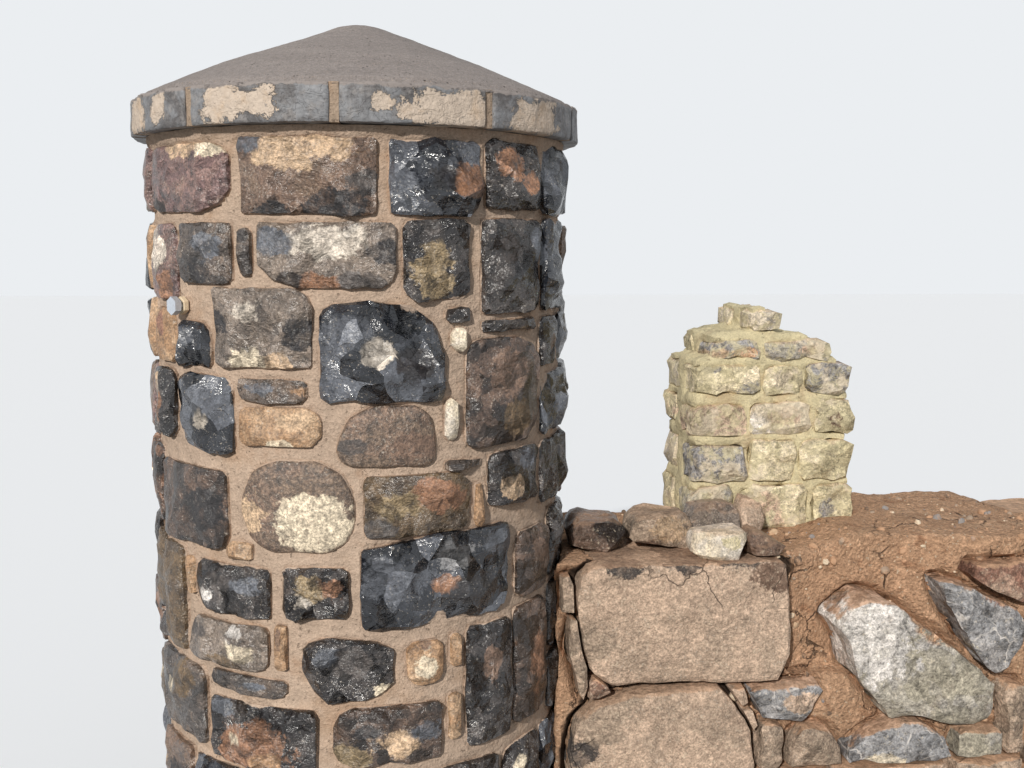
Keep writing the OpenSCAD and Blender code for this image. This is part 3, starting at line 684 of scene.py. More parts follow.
def carve(piece, look, axes, rng, grid, keep, lumps=0.006, loose=False):
    """Turns a plain solid into a broken stone. Where keep is given, only that depth of it stays."""
    stones = bpy.context.scene.masonry_stones
    if keep:
        furthest, _ = axes.reach(piece, axes.out)
        slice_off(piece, axes.out * (furthest - keep), -axes.out)
    chip(piece, axes, rng, look.chips, stones.chip_depth)
    if loose:
        chip(piece, axes, rng, LOOSE_CHIPS, stones.chip_depth * LOOSE_CHIP_DEPTH, LOOSE_SPREAD)
    broken = look.chips > 0
    modify(piece, "BEVEL", width=BROKEN_EDGE if broken else WORN_EDGE, segments=2 if broken else 4,
           limit_method="ANGLE", angle_limit=math.radians(25))
    remesh(piece, grid)
    push(piece, "lumps", lumps)
    if look.flake:
        flake(piece, look.flake, axes, rng)
    modify(piece, "DECIMATE", ratio=stones.facets)
    modify(piece, "SUBSURF", subdivision_type="SIMPLE" if broken else "CATMULL_CLARK", levels=1)
    push(piece, "grain", look.grain)
    stand_on_ground(piece)


class Value:
    """A socket that carries numbers. An expression on it adds the Math nodes that it needs."""

    def __init__(self, sheet, socket):
        self.sheet = sheet
        self.socket = socket

    def _math(self, operation, first, second):
        return self.sheet.node("ShaderNodeMath", {"operation": operation}, i0=first, i1=second)

    def __add__(self, other):
        return self._math("ADD", self, other)

    __radd__ = __add__

    def __sub__(self, other):
        return self._math("SUBTRACT", self, other)

    def __rsub__(self, other):
        return self._math("SUBTRACT", other, self)

    def __mul__(self, other):
        return self._math("MULTIPLY", self, other)

    __rmul__ = __mul__

    def at_most(self, other):
        return self._math("MINIMUM", self, other)

    def at_least(self, other):
        return self._math("MAXIMUM", self, other)

    def size(self):
        return self._math("ABSOLUTE", self, 0.0)

    def clamped(self):
        """The value kept between 0 and 1."""
        return self.at_least(0.0).at_most(1.0)


class Sheet:
    """The nodes of a material or of the world, being written."""

    def __init__(self, owner):
        owner.use_nodes = True
        self.tree = owner.node_tree

    def node(self, kind, settings=None, out=0, **inputs):
        """Adds a node, sets it up, and gives the value of one of its outputs."""
        made = self.tree.nodes.new(kind)
        for name, value in (settings or {}).items():
            setattr(made, name, value)
        for name, value in inputs.items():
            self._feed(made.inputs[self._key(name)], value)
        return Value(self, made.outputs[out])

    @staticmethod
    def _key(name):
        return int(name[1:]) if name[0] == "i" and name[1:].isdigit() else name.replace("_", " ")

    def _feed(self, socket, value):
        if isinstance(value, Value):
            self.tree.links.new(value.socket, socket)
        else:
            socket.default_value = value

    def seen(self):
        """1 for the rays that show the background: to the camera, in gloss and through glass."""
        rays = [self.node("ShaderNodeLightPath", out=f"Is {kind} Ray")
                for kind in ("Camera", "Glossy", "Transmission")]
        return rays[0].at_least(rays[1]).at_least(rays[2])


class Finish(Sheet):
    """A material being written, with the shader that its nodes feed."""

    def __init__(self, name, specular=0.5):
        self.material = bpy.data.materials.new(name)
        super().__init__(self.material)
        self.shader = self.tree.nodes["Principled BSDF"]
        self.shader.inputs["Specular IOR Level"].default_value = specular

    def here(self):
        return self.node("ShaderNodeTexCoord", out="Object")

    def stretched(self, scale, turn=(0, 0, 0)):
        """Object coordinates, stretched or turned for a pattern."""
        return self.node("ShaderNodeMapping", Vector=self.here(), Scale=scale, Rotation=turn)

    def vector(self, operation, first, second, out="Vector"):
        return self.node("ShaderNodeVectorMath", {"operation": operation}, out=out, i0=first, i1=second)

    def noise(self, scale, detail=4.0, rough=0.55, at=None, distort=0.0):
        return self.node("ShaderNodeTexNoise", Vector=at or self.here(), Scale=scale, Detail=detail,
                         Roughness=rough, Distortion=distort)

    def warped(self, amount, *noise):
        """Object coordinates pushed about by a noise, for a pattern that wanders."""
        pushed = self.vector("MULTIPLY", self.noise(*noise), (amount, amount, amount))
        return self.vector("ADD", self.here(), pushed)

    def lines(self, scale, at, low, high, noise, start, full):
        """Thin lines between cells, broken off where a noise is low."""
        line = self.step(self.cells(scale, "DISTANCE_TO_EDGE", at=at), low, high)
        return line * self.step(self.noise(*noise), start, full)

    def cells(self, scale, feature="F1", at=None, out="Distance"):
        return self.node("ShaderNodeTexVoronoi", {"feature": feature}, out=out,
                         Vector=at or self.here(), Scale=scale)

    def facets(self, scale):
        """Flat facets, each of which leans its own way: their height in metres, and how lit each is."""
        warp = self.node("ShaderNodeTexNoise", out="Color", Vector=self.here(), Scale=scale * 0.8,
                         Detail=1.0)
        warp = self.vector("SUBTRACT", warp, (0.5, 0.5, 0.5))
        warp = self.node("ShaderNodeVectorMath", {"operation": "SCALE"}, i0=warp, Scale=0.9 / scale)
        at = self.vector("ADD", self.here(), warp)
        lean = self.vector("SUBTRACT", self.cells(scale, at=at, out="Color"), (0.5, 0.5, 0.5))
        offset = self.vector("SUBTRACT", at, self.cells(scale, at=at, out="Position"))
        # How much each facet faces the sun, which the stones' colours paint as light and shade
        lit = 0.5 - self.vector("DOT_PRODUCT", lean, TOWARDS_SUN, out="Value")
        return self.vector("DOT_PRODUCT", offset, lean, out="Value"), lit

    def step(self, value, low, high):
        """0 below low, 1 above high, and smooth between them."""
        return self.node("ShaderNodeMapRange", {"interpolation_type": "SMOOTHSTEP"},
                         Value=value, From_Min=low, From_Max=high)

    def grain(self, scale, detail=3.0, rough=0.6, at=None):
        """Noise that runs all the way from 0 to 1."""
        return self.step(self.noise(scale, detail, rough, at), 0.34, 0.66)

    def ledges(self, scale):
        """Thin steps, as where a stone has split along its layers."""
        tilted = self.stretched((1, 1, 1.6), (0.5, 0.3, 0.9))
        layers = self.noise(scale, 4, 0.55, at=tilted, distort=0.4)
        first = self.step(layers, 0.42, 0.43)
        return first + self.step(layers, 0.5, 0.508) + self.step(layers, 0.57, 0.58)

    def ridges(self, scale):
        """Sharp crests that branch and wander, with hollows between them, from 0 to 1."""
        fold = self.noise(scale, 3.0, 0.55, at=self.stretched((1, 1, 1.5), (0.5, 0.3, 0.9))) - 0.5
        return (1.0 - fold.size() * 7).clamped()

    def attribute(self, name, out="Fac"):
        return self.node("ShaderNodeAttribute", {"attribute_name": name}, out=out)

    def height(self):
        """How high the point lies above the ground."""
        return self.node("ShaderNodeSeparateXYZ", out="Z", Vector=self.here())

    def mix(self, first, second, mask):
        return self.node("ShaderNodeMix", {"data_type": "RGBA"}, out=2, i0=mask, i6=first, i7=second)

    def stain(self, colour, shade, noise, low, high, share):
        """A colour with blotches of another, where a noise is above high, and weaker down to low."""
        blotch = self.step(self.noise(*noise), low, high)
        return self.mix(colour, COLOURS[shade], blotch * share)

    def tint(self, colour, value, amount):
        """A colour made lighter and darker by a value that runs from 0 to 1."""
        return self.node("ShaderNodeHueSaturation", Color=colour,
                         Value=value * (2 * amount) + (1 - amount))

    def bump(self, height, distance):
        return self.node("ShaderNodeBump", Height=height, Distance=distance)

    def wear(self, colour, rough, normal=None):
        """Links the shader and gives the material."""
        self._feed(self.shader.inputs["Base Color"], colour)
        self._feed(self.shader.inputs["Roughness"], rough)
        if normal is not None:
            self._feed(self.shader.inputs["Normal"], normal)
        return self.material


def stone_colour(f, crinkle, lit, depth):
    """A stone's two tones and ragged patches, with painted light and shade on its facets, painted shade
    in its crevices and painted glints. Gives the patches too.
    """
    broad = f.noise(13, 5, 0.62, distort=0.5)
    crag = f.attribute("crag")
    # The fleck colour comes in where a broad noise is high, as the stone's own tone, and on the facets
    # that face the sun, as painted sheen
    fleck_and_painted_shine = f.step(broad, 0.45, 0.6) * (1.0 - crag * 0.7) + f.step(lit, 0.48, 0.7) * crag
    colour = f.mix(f.attribute("tone", "Color"), f.attribute("fleck", "Color"), fleck_and_painted_shine * 0.62)
    ragged = f.attribute("patch") + (f.noise(11, 8, 0.74, distort=0.6) - 0.5) * 1.7
    ragged = ragged + (f.noise(34, 5, 0.7) - 0.5) * 1.3
    patch = f.step(ragged, 0.2, 0.34) * f.step(f.attribute("patch"), 0.0, 0.15)
    patch = patch * (f.step(f.noise(38, 7, 0.75), 0.36, 0.54) * 0.4 + 0.6)
    colour = f.mix(colour, f.attribute("patch_tone", "Color"), patch)
    wrinkle = f.attribute("wrinkle")
    colour = f.tint(colour, crinkle, (crag * 0.2 + depth) * wrinkle + 0.05)
    colour = f.tint(colour, f.grain(240), wrinkle * 0.1 + depth)
    colour = f.tint(colour, f.grain(115, 3), f.step(wrinkle, 1.55, 1.65) * (1.0 - patch * 0.6) * 0.45)
    # Facets that face the sun are painted lighter and those that face away darker: painted light and
    # shade
    colour = f.tint(colour, lit, crag * 0.45 + 0.05)
    # The deepest hollows between the crests are painted dark: painted shade
    painted_hollow_shade = f.step(crinkle, 0.16, 0.0) * wrinkle * (crag * 0.5 + depth * 0.5)
    colour = f.mix(colour, COLOURS["painted_crevice_shade"], painted_hollow_shade)
    # Small bright spots where the broad noise is high: painted glints
    painted_highlight_spots = f.step(f.noise(210, 3, 0.6), 0.6, 0.67) * f.step(broad, 0.4, 0.56) * (1.0 - patch * 0.6)
    return f.mix(colour, COLOURS["painted_glint"], painted_highlight_spots * 0.5), patch


def pillar_stone_finish():
    """Wet-looking broken stone: two tones, patches, struck facets, and mortar smeared over its rim."""
    f = Finish("pillar_fieldstone", specular=0.7)
    crinkle = f.ridges(26) * 0.55 + f.grain(90, 3) * 0.45
    wide, wide_lit = f.facets(16)
    small, small_lit = f.facets(42)
    wrinkle = f.attribute("wrinkle")
    lit = wide_lit + (small_lit - wide_lit) * (wrinkle * 0.6)
    colour, patch = stone_colour(f, crinkle, lit, 0.2)
    rough = f.attribute("stone_rough") + (crinkle - 0.5) * 0.2 + patch * 0.2
    radius = f.vector("LENGTH", f.vector("MULTIPLY", f.here(), (1, 1, 0)), (0, 0, 0), out="Value")
    ragged = f.noise(30, 4, 0.6) * 0.007 + f.noise(160, 3, 0.6) * 0.003
    smear = f.step(ragged + (JOINT_R - 0.0025) - radius, 0.0, 0.001)
    mortar = bpy.context.scene.masonry_mortar.colour
    colour = f.mix(colour, f.tint(mortar, crinkle, 0.12), smear)
    crag = f.attribute("crag")
    facets = wide * 1.2 + f.ledges(14) * 0.0016
    facets = (facets + (small * 1.1 + f.ridges(26) * 0.003 + f.ridges(70) * 0.0012) * wrinkle) * crag
    grain = f.noise(240, 3, 0.6) * 0.0022 * (1.3 - crag)
    return f.wear(colour, (rough + smear * 0.5).clamped(), f.bump(facets + grain, 1.0))


def wall_stone_finish(name, soil_share, cracks=0.0, lichen=0.0):
    """Dry stone: two tones, patches, veins, soil on what faces up, and cracks or lichen where told."""
    f = Finish(name, specular=0.3)
    crinkle = f.grain(85, 5, 0.7, at=f.stretched((1, 1, 1.2), (0, 0.6, 0)))
    wide, wide_lit = f.facets(12)
    small, small_lit = f.facets(36)
    colour, patch = stone_colour(f, crinkle, wide_lit * 0.6 + small_lit * 0.4, 0.15)
    warped = f.warped(0.09, 8, 4, 0.6)
    veins = f.lines(11, warped, 0.026, 0.008, (14, 3, 0.6), 0.42, 0.56)
    colour = f.mix(colour, COLOURS["white"], veins * f.attribute("veins"))
    colour = f.stain(colour, "brown", (20, 6, 0.7), 0.54, 0.72, 0.35)
    colour = f.stain(colour, "cream", (120, 5, 0.7), 0.58, 0.66, 0.45)
    grain = crinkle * 0.0014 + f.noise(150, 3, 0.65) * 0.0022
    if cracks:
        split = f.lines(6, warped, 0.009, 0.002, (4, 3, 0.5), 0.53, 0.58)
        colour = f.mix(colour, COLOURS["umber"], split * (cracks * 0.6))
        grain = grain - split * (cracks * 0.004)
    if lichen:
        spots = f.step(f.noise(26, 6, 0.75, distort=0.8), 0.46, 0.56)
        colour = f.mix(colour, f.tint(COLOURS["straw"], crinkle, 0.2), spots * lichen)
        crust = f.step(f.noise(11, 5, 0.7), 0.54, 0.6)
        colour = f.mix(colour, f.tint(COLOURS["cream"], crinkle, 0.15), crust * lichen)
    earth = bpy.context.scene.masonry_mortar.earth_colour
    laid = f.attribute("soil") + (f.noise(34, 5, 0.7) - 0.5) * 1.2
    soil = f.step(laid, 0.55, 0.8) * soil_share
    colour = f.mix(colour, f.tint(earth, crinkle, 0.25), soil)
    facets = (wide * 0.6 + small * 0.7 + f.ledges(16) * 0.0016) * f.attribute("crag")
    rough = f.attribute("stone_rough") + (crinkle - 0.5) * 0.15 + patch * 0.1 + soil * 0.2
    return f.wear(colour, rough.clamped(), f.bump(facets + grain, 1.0))


def mortar_finish(name, colour):
    """Brushed lime mortar with sand in it."""
    f = Finish(name, specular=0.25)
    fine = f.grain(240)
    strokes = f.grain(36, 4, 0.6, at=f.stretched((1, 1, 1.5)))
    colour = f.tint(colour, f.grain(6), 0.06)
    colour = f.tint(colour, strokes, 0.07)
    colour = f.tint(colour, fine, 0.12)
    colour = f.stain(colour, "tan", (6, 5, 0.65), 0.5, 0.68, 0.4)
    colour = f.stain(colour, "rust", (12, 5, 0.7), 0.54, 0.75, 0.2)
    colour = f.stain(colour, "brown", (34, 4, 0.7), 0.58, 0.78, 0.25)
    colour = f.stain(colour, "cream", (260, 3, 0.6), 0.62, 0.7, 0.4)
    pits = f.step(f.noise(110, 4, 0.7), 0.38, 0.3)
    colour = f.mix(colour, COLOURS["brown"], pits * 0.5)
    return f.wear(colour, 0.88, f.bump(strokes * 0.3 + fine * 0.1 - pits * 0.25, 0.006))


def cap_finish():
    """Floated mortar: sand, a few open pores and faint rings from the float."""
    f = Finish("cap_mortar", specular=0.25)
    base = bpy.context.scene.masonry_mortar.cap_colour
    fine = f.noise(330, 5, 0.75)
    rings = f.noise(9, 4, 0.6, at=f.stretched((0.6, 0.6, 9)))
    colour = f.tint(base, f.grain(4), 0.05)
    colour = f.tint(colour, rings, 0.14)
    colour = f.tint(colour, f.grain(330), 0.14)
    colour = f.tint(colour, f.grain(120, 5), 0.1)
    colour = f.stain(colour, "buff", (420, 2, 0.5), 0.64, 0.72, 0.5)
    pores = f.step(f.cells(85), 0.2, 0.1) * f.step(f.noise(24, 3, 0.6), 0.48, 0.6)
    colour = f.mix(colour, COLOURS["umber"], pores * 0.8)
    bump = f.bump(fine * 0.7 + rings * 0.3 - pores * 1.2 + f.noise(90, 5, 0.7) * 0.6, 0.0036)
    return f.wear(colour, 0.86, bump)


def coping_finish():
    """Sawn slate, gray and mottled, flaked back in places to a pale rough bed."""
    f = Finish("coping_slate", specular=0.4)
    coping = bpy.context.scene.masonry_coping
    fine = f.noise(140, 6, 0.7)
    broad = f.noise(16, 6, 0.68, distort=0.5)
    colour = f.mix(coping.slate_colour, COLOURS["charcoal"], f.step(broad, 0.44, 0.62) * 0.75)
    colour = f.stain(colour, "gray", (40, 6, 0.72), 0.5, 0.62, 0.6)
    colour = f.tint(colour, f.grain(150, 4), 0.14)
    colour = f.tint(colour, f.ridges(30), 0.07)
    ragged = f.attribute("patch") + (f.noise(11, 9, 0.78, distort=0.6) - 0.5) * 3.2
    bed = f.step(ragged, 0.26, 0.31) * f.step(f.attribute("patch"), 0.0, 0.1)
    shade = f.stain(coping.bed_colour, "buff", (22, 5, 0.7), 0.5, 0.7, 0.5)
    shade = f.stain(shade, "slate_and_painted_sheen", (50, 5, 0.75), 0.58, 0.66, 0.6)
    colour = f.mix(colour, f.tint(shade, f.noise(60, 6, 0.75), 0.3), bed)
    ridge = f.height() + (f.noise(45, 4, 0.7) - 0.5) * 0.02
    smear = f.step(ridge, COPING_HIGH.z - 0.007, COPING_HIGH.z - 0.004)
    colour = f.mix(colour, bpy.context.scene.masonry_mortar.cap_colour, smear)
    bump = f.bump(bed * 0.6 + bed * f.grain(80, 5) * 0.35 + fine * 0.35 + f.ledges(20) * 0.25, 0.004)
    return f.wear(colour, (bed * 0.35 + 0.5 + smear * 0.3 + (fine - 0.5) * 0.2).clamped(), bump)


def earth_finish():
    """Dry red-brown earth with lighter crumbs, damp hollows and drying cracks, and painted shade in the
    gap round the blocks.
    """
    f = Finish("earth_hearting", specular=0.15)
    earth = bpy.context.scene.masonry_mortar.earth_colour
    fine = f.grain(210, 4, 0.7)
    clods = f.grain(75, 5, 0.7)
    crumbs = f.cells(120, at=f.warped(0.02, 40))
    colour = f.stain(earth, "dry_earth", (7, 6, 0.7), 0.5, 0.7, 0.6)
    colour = f.stain(colour, "damp_earth", (16, 6, 0.72), 0.54, 0.7, 0.6)
    colour = f.tint(colour, fine, 0.22)
    colour = f.tint(colour, clods, 0.2)
    cracks = f.lines(9, f.warped(0.12, 10, 5, 0.65), 0.02, 0.006, (6, 3, 0.5), 0.52, 0.56)
    colour = f.mix(colour, COLOURS["umber"], cracks * 0.75)
    colour = f.stain(colour, "cream", (130, 2, 0.5), 0.66, 0.71, 0.6)
    # Near the blocks the earth is painted dark: painted shade in the gap round them
    gap = f.step(f.attribute("gap") + (f.noise(30, 3, 0.6) - 0.5) * 0.5, 0.3, 0.6)
    colour = f.mix(colour, COLOURS["painted_crevice_shade"], gap * 0.9)
    bump = f.bump(clods * 0.22 - crumbs * 0.4 + fine * 0.1 - cracks * 0.5, 0.012)
    return f.wear(colour, 0.95, bump)


def pebble_finish():
    """Small stones and crumbs, each of its own shade, dusted with the earth."""
    f = Finish("pebbles", specular=0.3)
    fine = f.noise(200, 5, 0.7)
    colour = f.tint(f.attribute("tone", "Color"), fine, 0.35)
    earth = bpy.context.scene.masonry_mortar.earth_colour
    colour = f.mix(colour, earth, f.step(f.noise(60, 4, 0.7), 0.45, 0.62) * 0.7)
    return f.wear(colour, 0.85, f.bump(fine, 0.0015))


def steel_finish():
    """Galvanised steel with a mottled zinc bloom."""
    f = Finish("galvanised_steel")
    spangle = f.cells(260, out="Color")
    colour = f.mix(COLOURS["zinc"], COLOURS["zinc_shade"], f.noise(180, 4, 0.6))
    colour = f.stain(colour, "zinc_stain", (120, 4, 0.7), 0.6, 0.75, 0.5)
    f.shader.inputs["Metallic"].default_value = 0.6
    return f.wear(colour, (f.noise(300, 3, 0.6) * 0.3 + 0.22).clamped(), f.bump(spangle, 0.0002))


def limed_steel_finish():
    """Steel splashed with the mortar that it was set in."""
    f = Finish("limewashed_steel", specular=0.3)
    fine = f.noise(400, 4, 0.7)
    bare = f.step(f.noise(90, 4, 0.7), 0.6, 0.68)
    colour = f.mix(f.tint(COLOURS["lime"], fine, 0.2), COLOURS["bare_steel"], bare)
    return f.wear(colour, 0.8, f.bump(fine, 0.001))


def choose(rng, looks, strays, plan=None):
    """The look of a stone and its patches, from the plan where it has one."""
    if plan is None:
        patches = [(rng.uniform(-0.7, 0.7), rng.uniform(-0.7, 0.7), rng.uniform(0.3, 0.8),
                    rng.choice(strays)) for _ in range(rng.choice((0, 1, 1, 2)))]
        return rng.choice(looks), patches
    if isinstance(plan, str):
        return plan, []
    return plan[0], plan[1:]


def nearest_plan(plans, first, second):
    """What is planned for the stone at a place, where the plan has one near enough."""
    best = min(plans, key=lambda p: math.hypot(p[0] - first, p[1] - second))
    return best[2] if math.hypot(best[0] - first, best[1] - second) < NEAR_ENOUGH else None


def dress_pillar_course(node, seed):
    """One course of the pillar with its stones carved and painted."""
    rng = random.Random(seed)
    stones = bpy.context.scene.masonry_stones
    parts = sorted(loose_parts(cad_copy(node, node + "_stones")), key=angle_of)
    seen = [p for p in parts if abs(angle_of(p)) < SEEN_HALF_ANGLE]
    plans = dict(zip(seen, SEEN_LOOKS.get(node, [])))
    for part in parts:
        name, patches = choose(rng, PILLAR_LOOKS, PILLAR_STRAYS, plans.get(part))
        axes = radial_axes(part)
        carve(part, LOOKS[name], axes, rng, stones.pillar_grid, PILLAR_STONE_KEPT)
        paint(part, LOOKS[name], axes, patches)
    return join(parts, node + "_stones")


def dress_wall_stones(node, out, seed, keep, looks, plan=None, lumps=0.009, loose=False):
    """The stones of one of the wall's nodes, carved and painted. The plan gives a part's look."""
    rng = random.Random(seed)
    stones = bpy.context.scene.masonry_stones
    parts = sorted(loose_parts(cad_copy(node, node + "_stones")), key=lambda p: tuple(middle(p)))
    for part in parts:
        name, patches = choose(rng, looks, WALL_STRAYS, plan(middle(part)) if plan else None)
        axes = Axes(out)
        carve(part, LOOKS[name], axes, rng, stones.wall_grid, keep, lumps, loose)
        paint(part, LOOKS[name], axes, patches)
    return join(parts, node + "_stones")


def stone_surfaces(nodes):
    """The faces of some nodes' dressed stones, in a form that finds the nearest one to a point."""
    points = []
    faces = []
    for node in nodes:
        mesh = bpy.data.objects[node + "_stones"].data
        start = len(points)
        points.extend(v.co.copy() for v in mesh.vertices)
        faces.extend([start + i for i in p.vertices] for p in mesh.polygons)
    return BVHTree.FromPolygons(points, faces)


class PillarStones(bpy.types.Operator):
    """Breaks the pillar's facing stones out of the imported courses"""

    bl_idname = "masonry.pillar_stones"
    bl_label = "Pillar stones"

    def execute(self, context):
        finish = pillar_stone_finish()
        for k, node in enumerate(PILLAR_COURSES):
            piece = dress_pillar_course(node, 100 + k)
            hand_over(piece, finish, "dark_fieldstone", node, smooth=22)
        return {"FINISHED"}


class PillarMortar(bpy.types.Operator):
    """Lays the mortar between the pillar's stones and draws it up to their sides"""

    bl_idname = "masonry.pillar_mortar"
    bl_label = "Pillar mortar"

    def execute(self, context):
        settings = context.scene.masonry_mortar
        piece = self.shell(settings.grid)
        self.settle(piece, settings)
        push(piece, "swells", 0.004, mid_level=0.8)
        push(piece, "lumps", 0.004, mid_level=0.7)
        push(piece, "sand", 0.0014)
        modify(piece, "DECIMATE", ratio=0.7)
        stand_on_ground(piece)
        hand_over(piece, mortar_finish("brushed_mortar", settings.colour), "pillar_mortar", *LIFTS,
                  smooth=60)
        return {"FINISHED"}

    @staticmethod
    def shell(grid):
        """A closed drum of the mortar's radius: a sheet of even faces, bent round and capped."""
        deselect()
        bpy.ops.mesh.primitive_grid_add(
            x_subdivisions=round(2 * math.pi * JOINT_R / grid), y_subdivisions=round(SHAFT_TOP / grid),
            size=1, location=(0, 0, 0))
        piece = bpy.context.object
        piece.name = "mortar_joints"
        piece.data.name = "mortar_joints"
        for vertex in piece.data.vertices:
            turn = 2 * math.pi * vertex.co.x
            vertex.co = (JOINT_R * math.cos(turn), JOINT_R * math.sin(turn),
                         (vertex.co.y + 0.5) * SHAFT_TOP)
        edit_all(piece)
        bpy.ops.mesh.remove_doubles(threshold=grid * 0.1)
        bpy.ops.mesh.select_all(action="DESELECT")
        bpy.ops.mesh.select_mode(type="EDGE")
        bpy.ops.mesh.select_non_manifold(extend=False)
        bpy.ops.mesh.edge_face_add()
        bpy.ops.mesh.select_all(action="SELECT")
        bpy.ops.mesh.normals_make_consistent(inside=False)
        bpy.ops.mesh.select_mode(type="VERT")
        close_edit()
        return piece

    @staticmethod
    def settle(piece, settings):
        """Draws the mortar up to the stones' sides, and sinks it where it lies inside a stone."""
        stones = stone_surfaces(PILLAR_COURSES)
        for vertex in piece.data.vertices:
            out = Vector((vertex.co.x, vertex.co.y, 0))
            out.normalize()
            rise = max(0.0, 1 - (SHAFT_TOP - vertex.co.z) / HAUNCH_DROP)
            vertex.co += out * settings.haunch * min(1.0, 1.6 * rise)
            near, normal, _, distance = stones.find_nearest(vertex.co, STONE_SEARCH)
            if near is None:
                continue
            if (vertex.co - near).dot(normal) < 0:
                vertex.co -= out * min(SINK, distance)
            elif distance < settings.feather:
                share = 1 - distance / settings.feather
                vertex.co += out * settings.lip * share * share


class CopingRing(bpy.types.Operator):
    """Carves the coping stones and gives the imported mortar between them its finish"""

    bl_idname = "masonry.coping_ring"
    bl_label = "Coping ring"

    def execute(self, context):
        rng = random.Random(300)
        grid = context.scene.masonry_coping.grid
        parts = sorted(loose_parts(cad_copy("coping_stones", "coping_ring")), key=angle_of)
        for part in parts:
            axes = radial_axes(part)
            chip(part, axes, rng, 2, 0.004)
            modify(part, "BEVEL", width=0.003, segments=2, limit_method="ANGLE",
                   angle_limit=math.radians(40))
            remesh(part, grid)
            flake(part, 0.003, axes, rng)
            push(part, "lumps", 0.003)
            push(part, "grain", 0.0014)
            modify(part, "DECIMATE", ratio=0.3)
        piece = join(parts, "coping_ring")
        self.paint_patches(piece)
        hand_over(piece, coping_finish(), "coping_slate", "coping_stones")
        joints = frame["nodes"]["coping_mortar"].data
        joints.materials.clear()
        joints.materials.append(mortar_finish("coping_joint_mortar", COLOURS["dun"]))
        return {"FINISHED"}

    @staticmethod
    def paint_patches(piece):
        """Marks where the faces have flaked, for the shader to read."""
        rise = COPING_HIGH.z - COPING_LOW.z
        values = []
        for vertex in piece.data.vertices:
            turn = math.degrees(math.atan2(vertex.co.x, -vertex.co.y))
            up = (vertex.co.z - COPING_LOW.z) / rise
            value = 0.0
            for at, half, height, half_height in COPING_PATCHES:
                across = abs((turn - at + 180) % 360 - 180) / half
                value = max(value, 1.0 - (across ** 4 + abs((up - height) / half_height) ** 4) ** 0.25)
            values.append(value)
        write(piece, "patch", values)


class MortarCap(bpy.types.Operator):
    """Floats the cap's mortar and leaves its edge uneven"""

    bl_idname = "masonry.mortar_cap"
    bl_label = "Mortar cap"

    def execute(self, context):
        piece = cad_copy("mortar_cap", "cap_mortar_body")
        remesh(piece, CAP_GRID)
        push(piece, "swells", 0.006)
        push(piece, "lumps", 0.0025)
        push(piece, "sand", 0.0016)
        for vertex in piece.data.vertices:
            rim = Vector((vertex.co.x, vertex.co.y, 0))
            if rim.length > CAP_R - RIM_WIDTH and vertex.co.z < CAP_LOW.z + RIM_HEIGHT:
                vertex.co += rim.normalized() * RIM_OUT
                vertex.co.z -= RIM_DOWN
            vertex.co.z = max(vertex.co.z, CAP_LOW.z - RIM_END)
        modify(piece, "DECIMATE", ratio=0.7)
        hand_over(piece, cap_finish(), "cap_mortar", "mortar_cap", smooth=60)
        return {"FINISHED"}


class FixingBolt(bpy.types.Operator):
    """Rounds the bolt and the nut and gives them their finishes"""

    bl_idname = "masonry.fixing_bolt"
    bl_label = "Fixing bolt"

    def execute(self, context):
        for node, finish in (("fixing_bolt", steel_finish()), ("fixing_nut", limed_steel_finish())):
            part = frame["nodes"][node]
            part.data.materials.clear()
            part.data.materials.append(finish)
            weld = part.modifiers.new("Weld", "WELD")
            weld.merge_threshold = 0.00005
            bevel = part.modifiers.new("Bevel", "BEVEL")
            bevel.width = 0.0016
            bevel.segments = 3
            bevel.limit_method = "ANGLE"
        return {"FINISHED"}


def seen_wall(centre):
    """What is planned for a stone of the wall's face."""
    return nearest_plan(SEEN_WALL, centre.x, centre.z)


def seen_top(centre):
    """What is planned for a loose stone on the wall."""
    return nearest_plan(SEEN_TOP, centre.x, centre.y)


class WallStones(bpy.types.Operator):
    """Breaks the wall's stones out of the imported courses, blocks and loose stones"""

    bl_idname = "masonry.wall_stones"
    bl_label = "Wall stones"

    def execute(self, context):
        finish = wall_stone_finish("wall_fieldstone", 0.85)
        block = wall_stone_finish("block_sandstone", 0.5, cracks=1.0)
        loose = wall_stone_finish("loose_stone", 0.3)
        for courses, out, seed in ((FRONT_COURSES, FRONT, 400), (BACK_COURSES, BACK, 420)):
            for k, node in enumerate(courses):
                kept = None if node == courses[-1] else WALL_STONE_KEPT
                piece = dress_wall_stones(node, out, seed + k, kept, WALL_LOOKS)
                hand_over(piece, finish, "wall_fieldstone", node)
        for k, node in enumerate(("upper_block", "lower_block")):
            piece = dress_wall_stones(node, FRONT, 440 + k, None, WALL_LOOKS, seen_wall, lumps=0.012)
            hand_over(piece, block, "tan_sandstone", node)
        slots = (("rough_stones", "gray_rubble"), ("pinnings", "tan_sandstone"))
        for k, (node, slot) in enumerate(slots):
            piece = dress_wall_stones(node, FRONT, 450 + k, None, WALL_LOOKS, seen_wall, lumps=0.013)
            hand_over(piece, finish, slot, node)
        piece = dress_wall_stones("end_stones", FAR_END, 460, None, WALL_LOOKS)
        hand_over(piece, finish, "gray_rubble", "end_stones")
        piece = dress_wall_stones("top_stones", FRONT, 470, None, WALL_LOOKS, seen_top, lumps=0.018,
                                  loose=True)
        hand_over(piece, loose, "tan_sandstone", "top_stones")
        return {"FINISHED"}


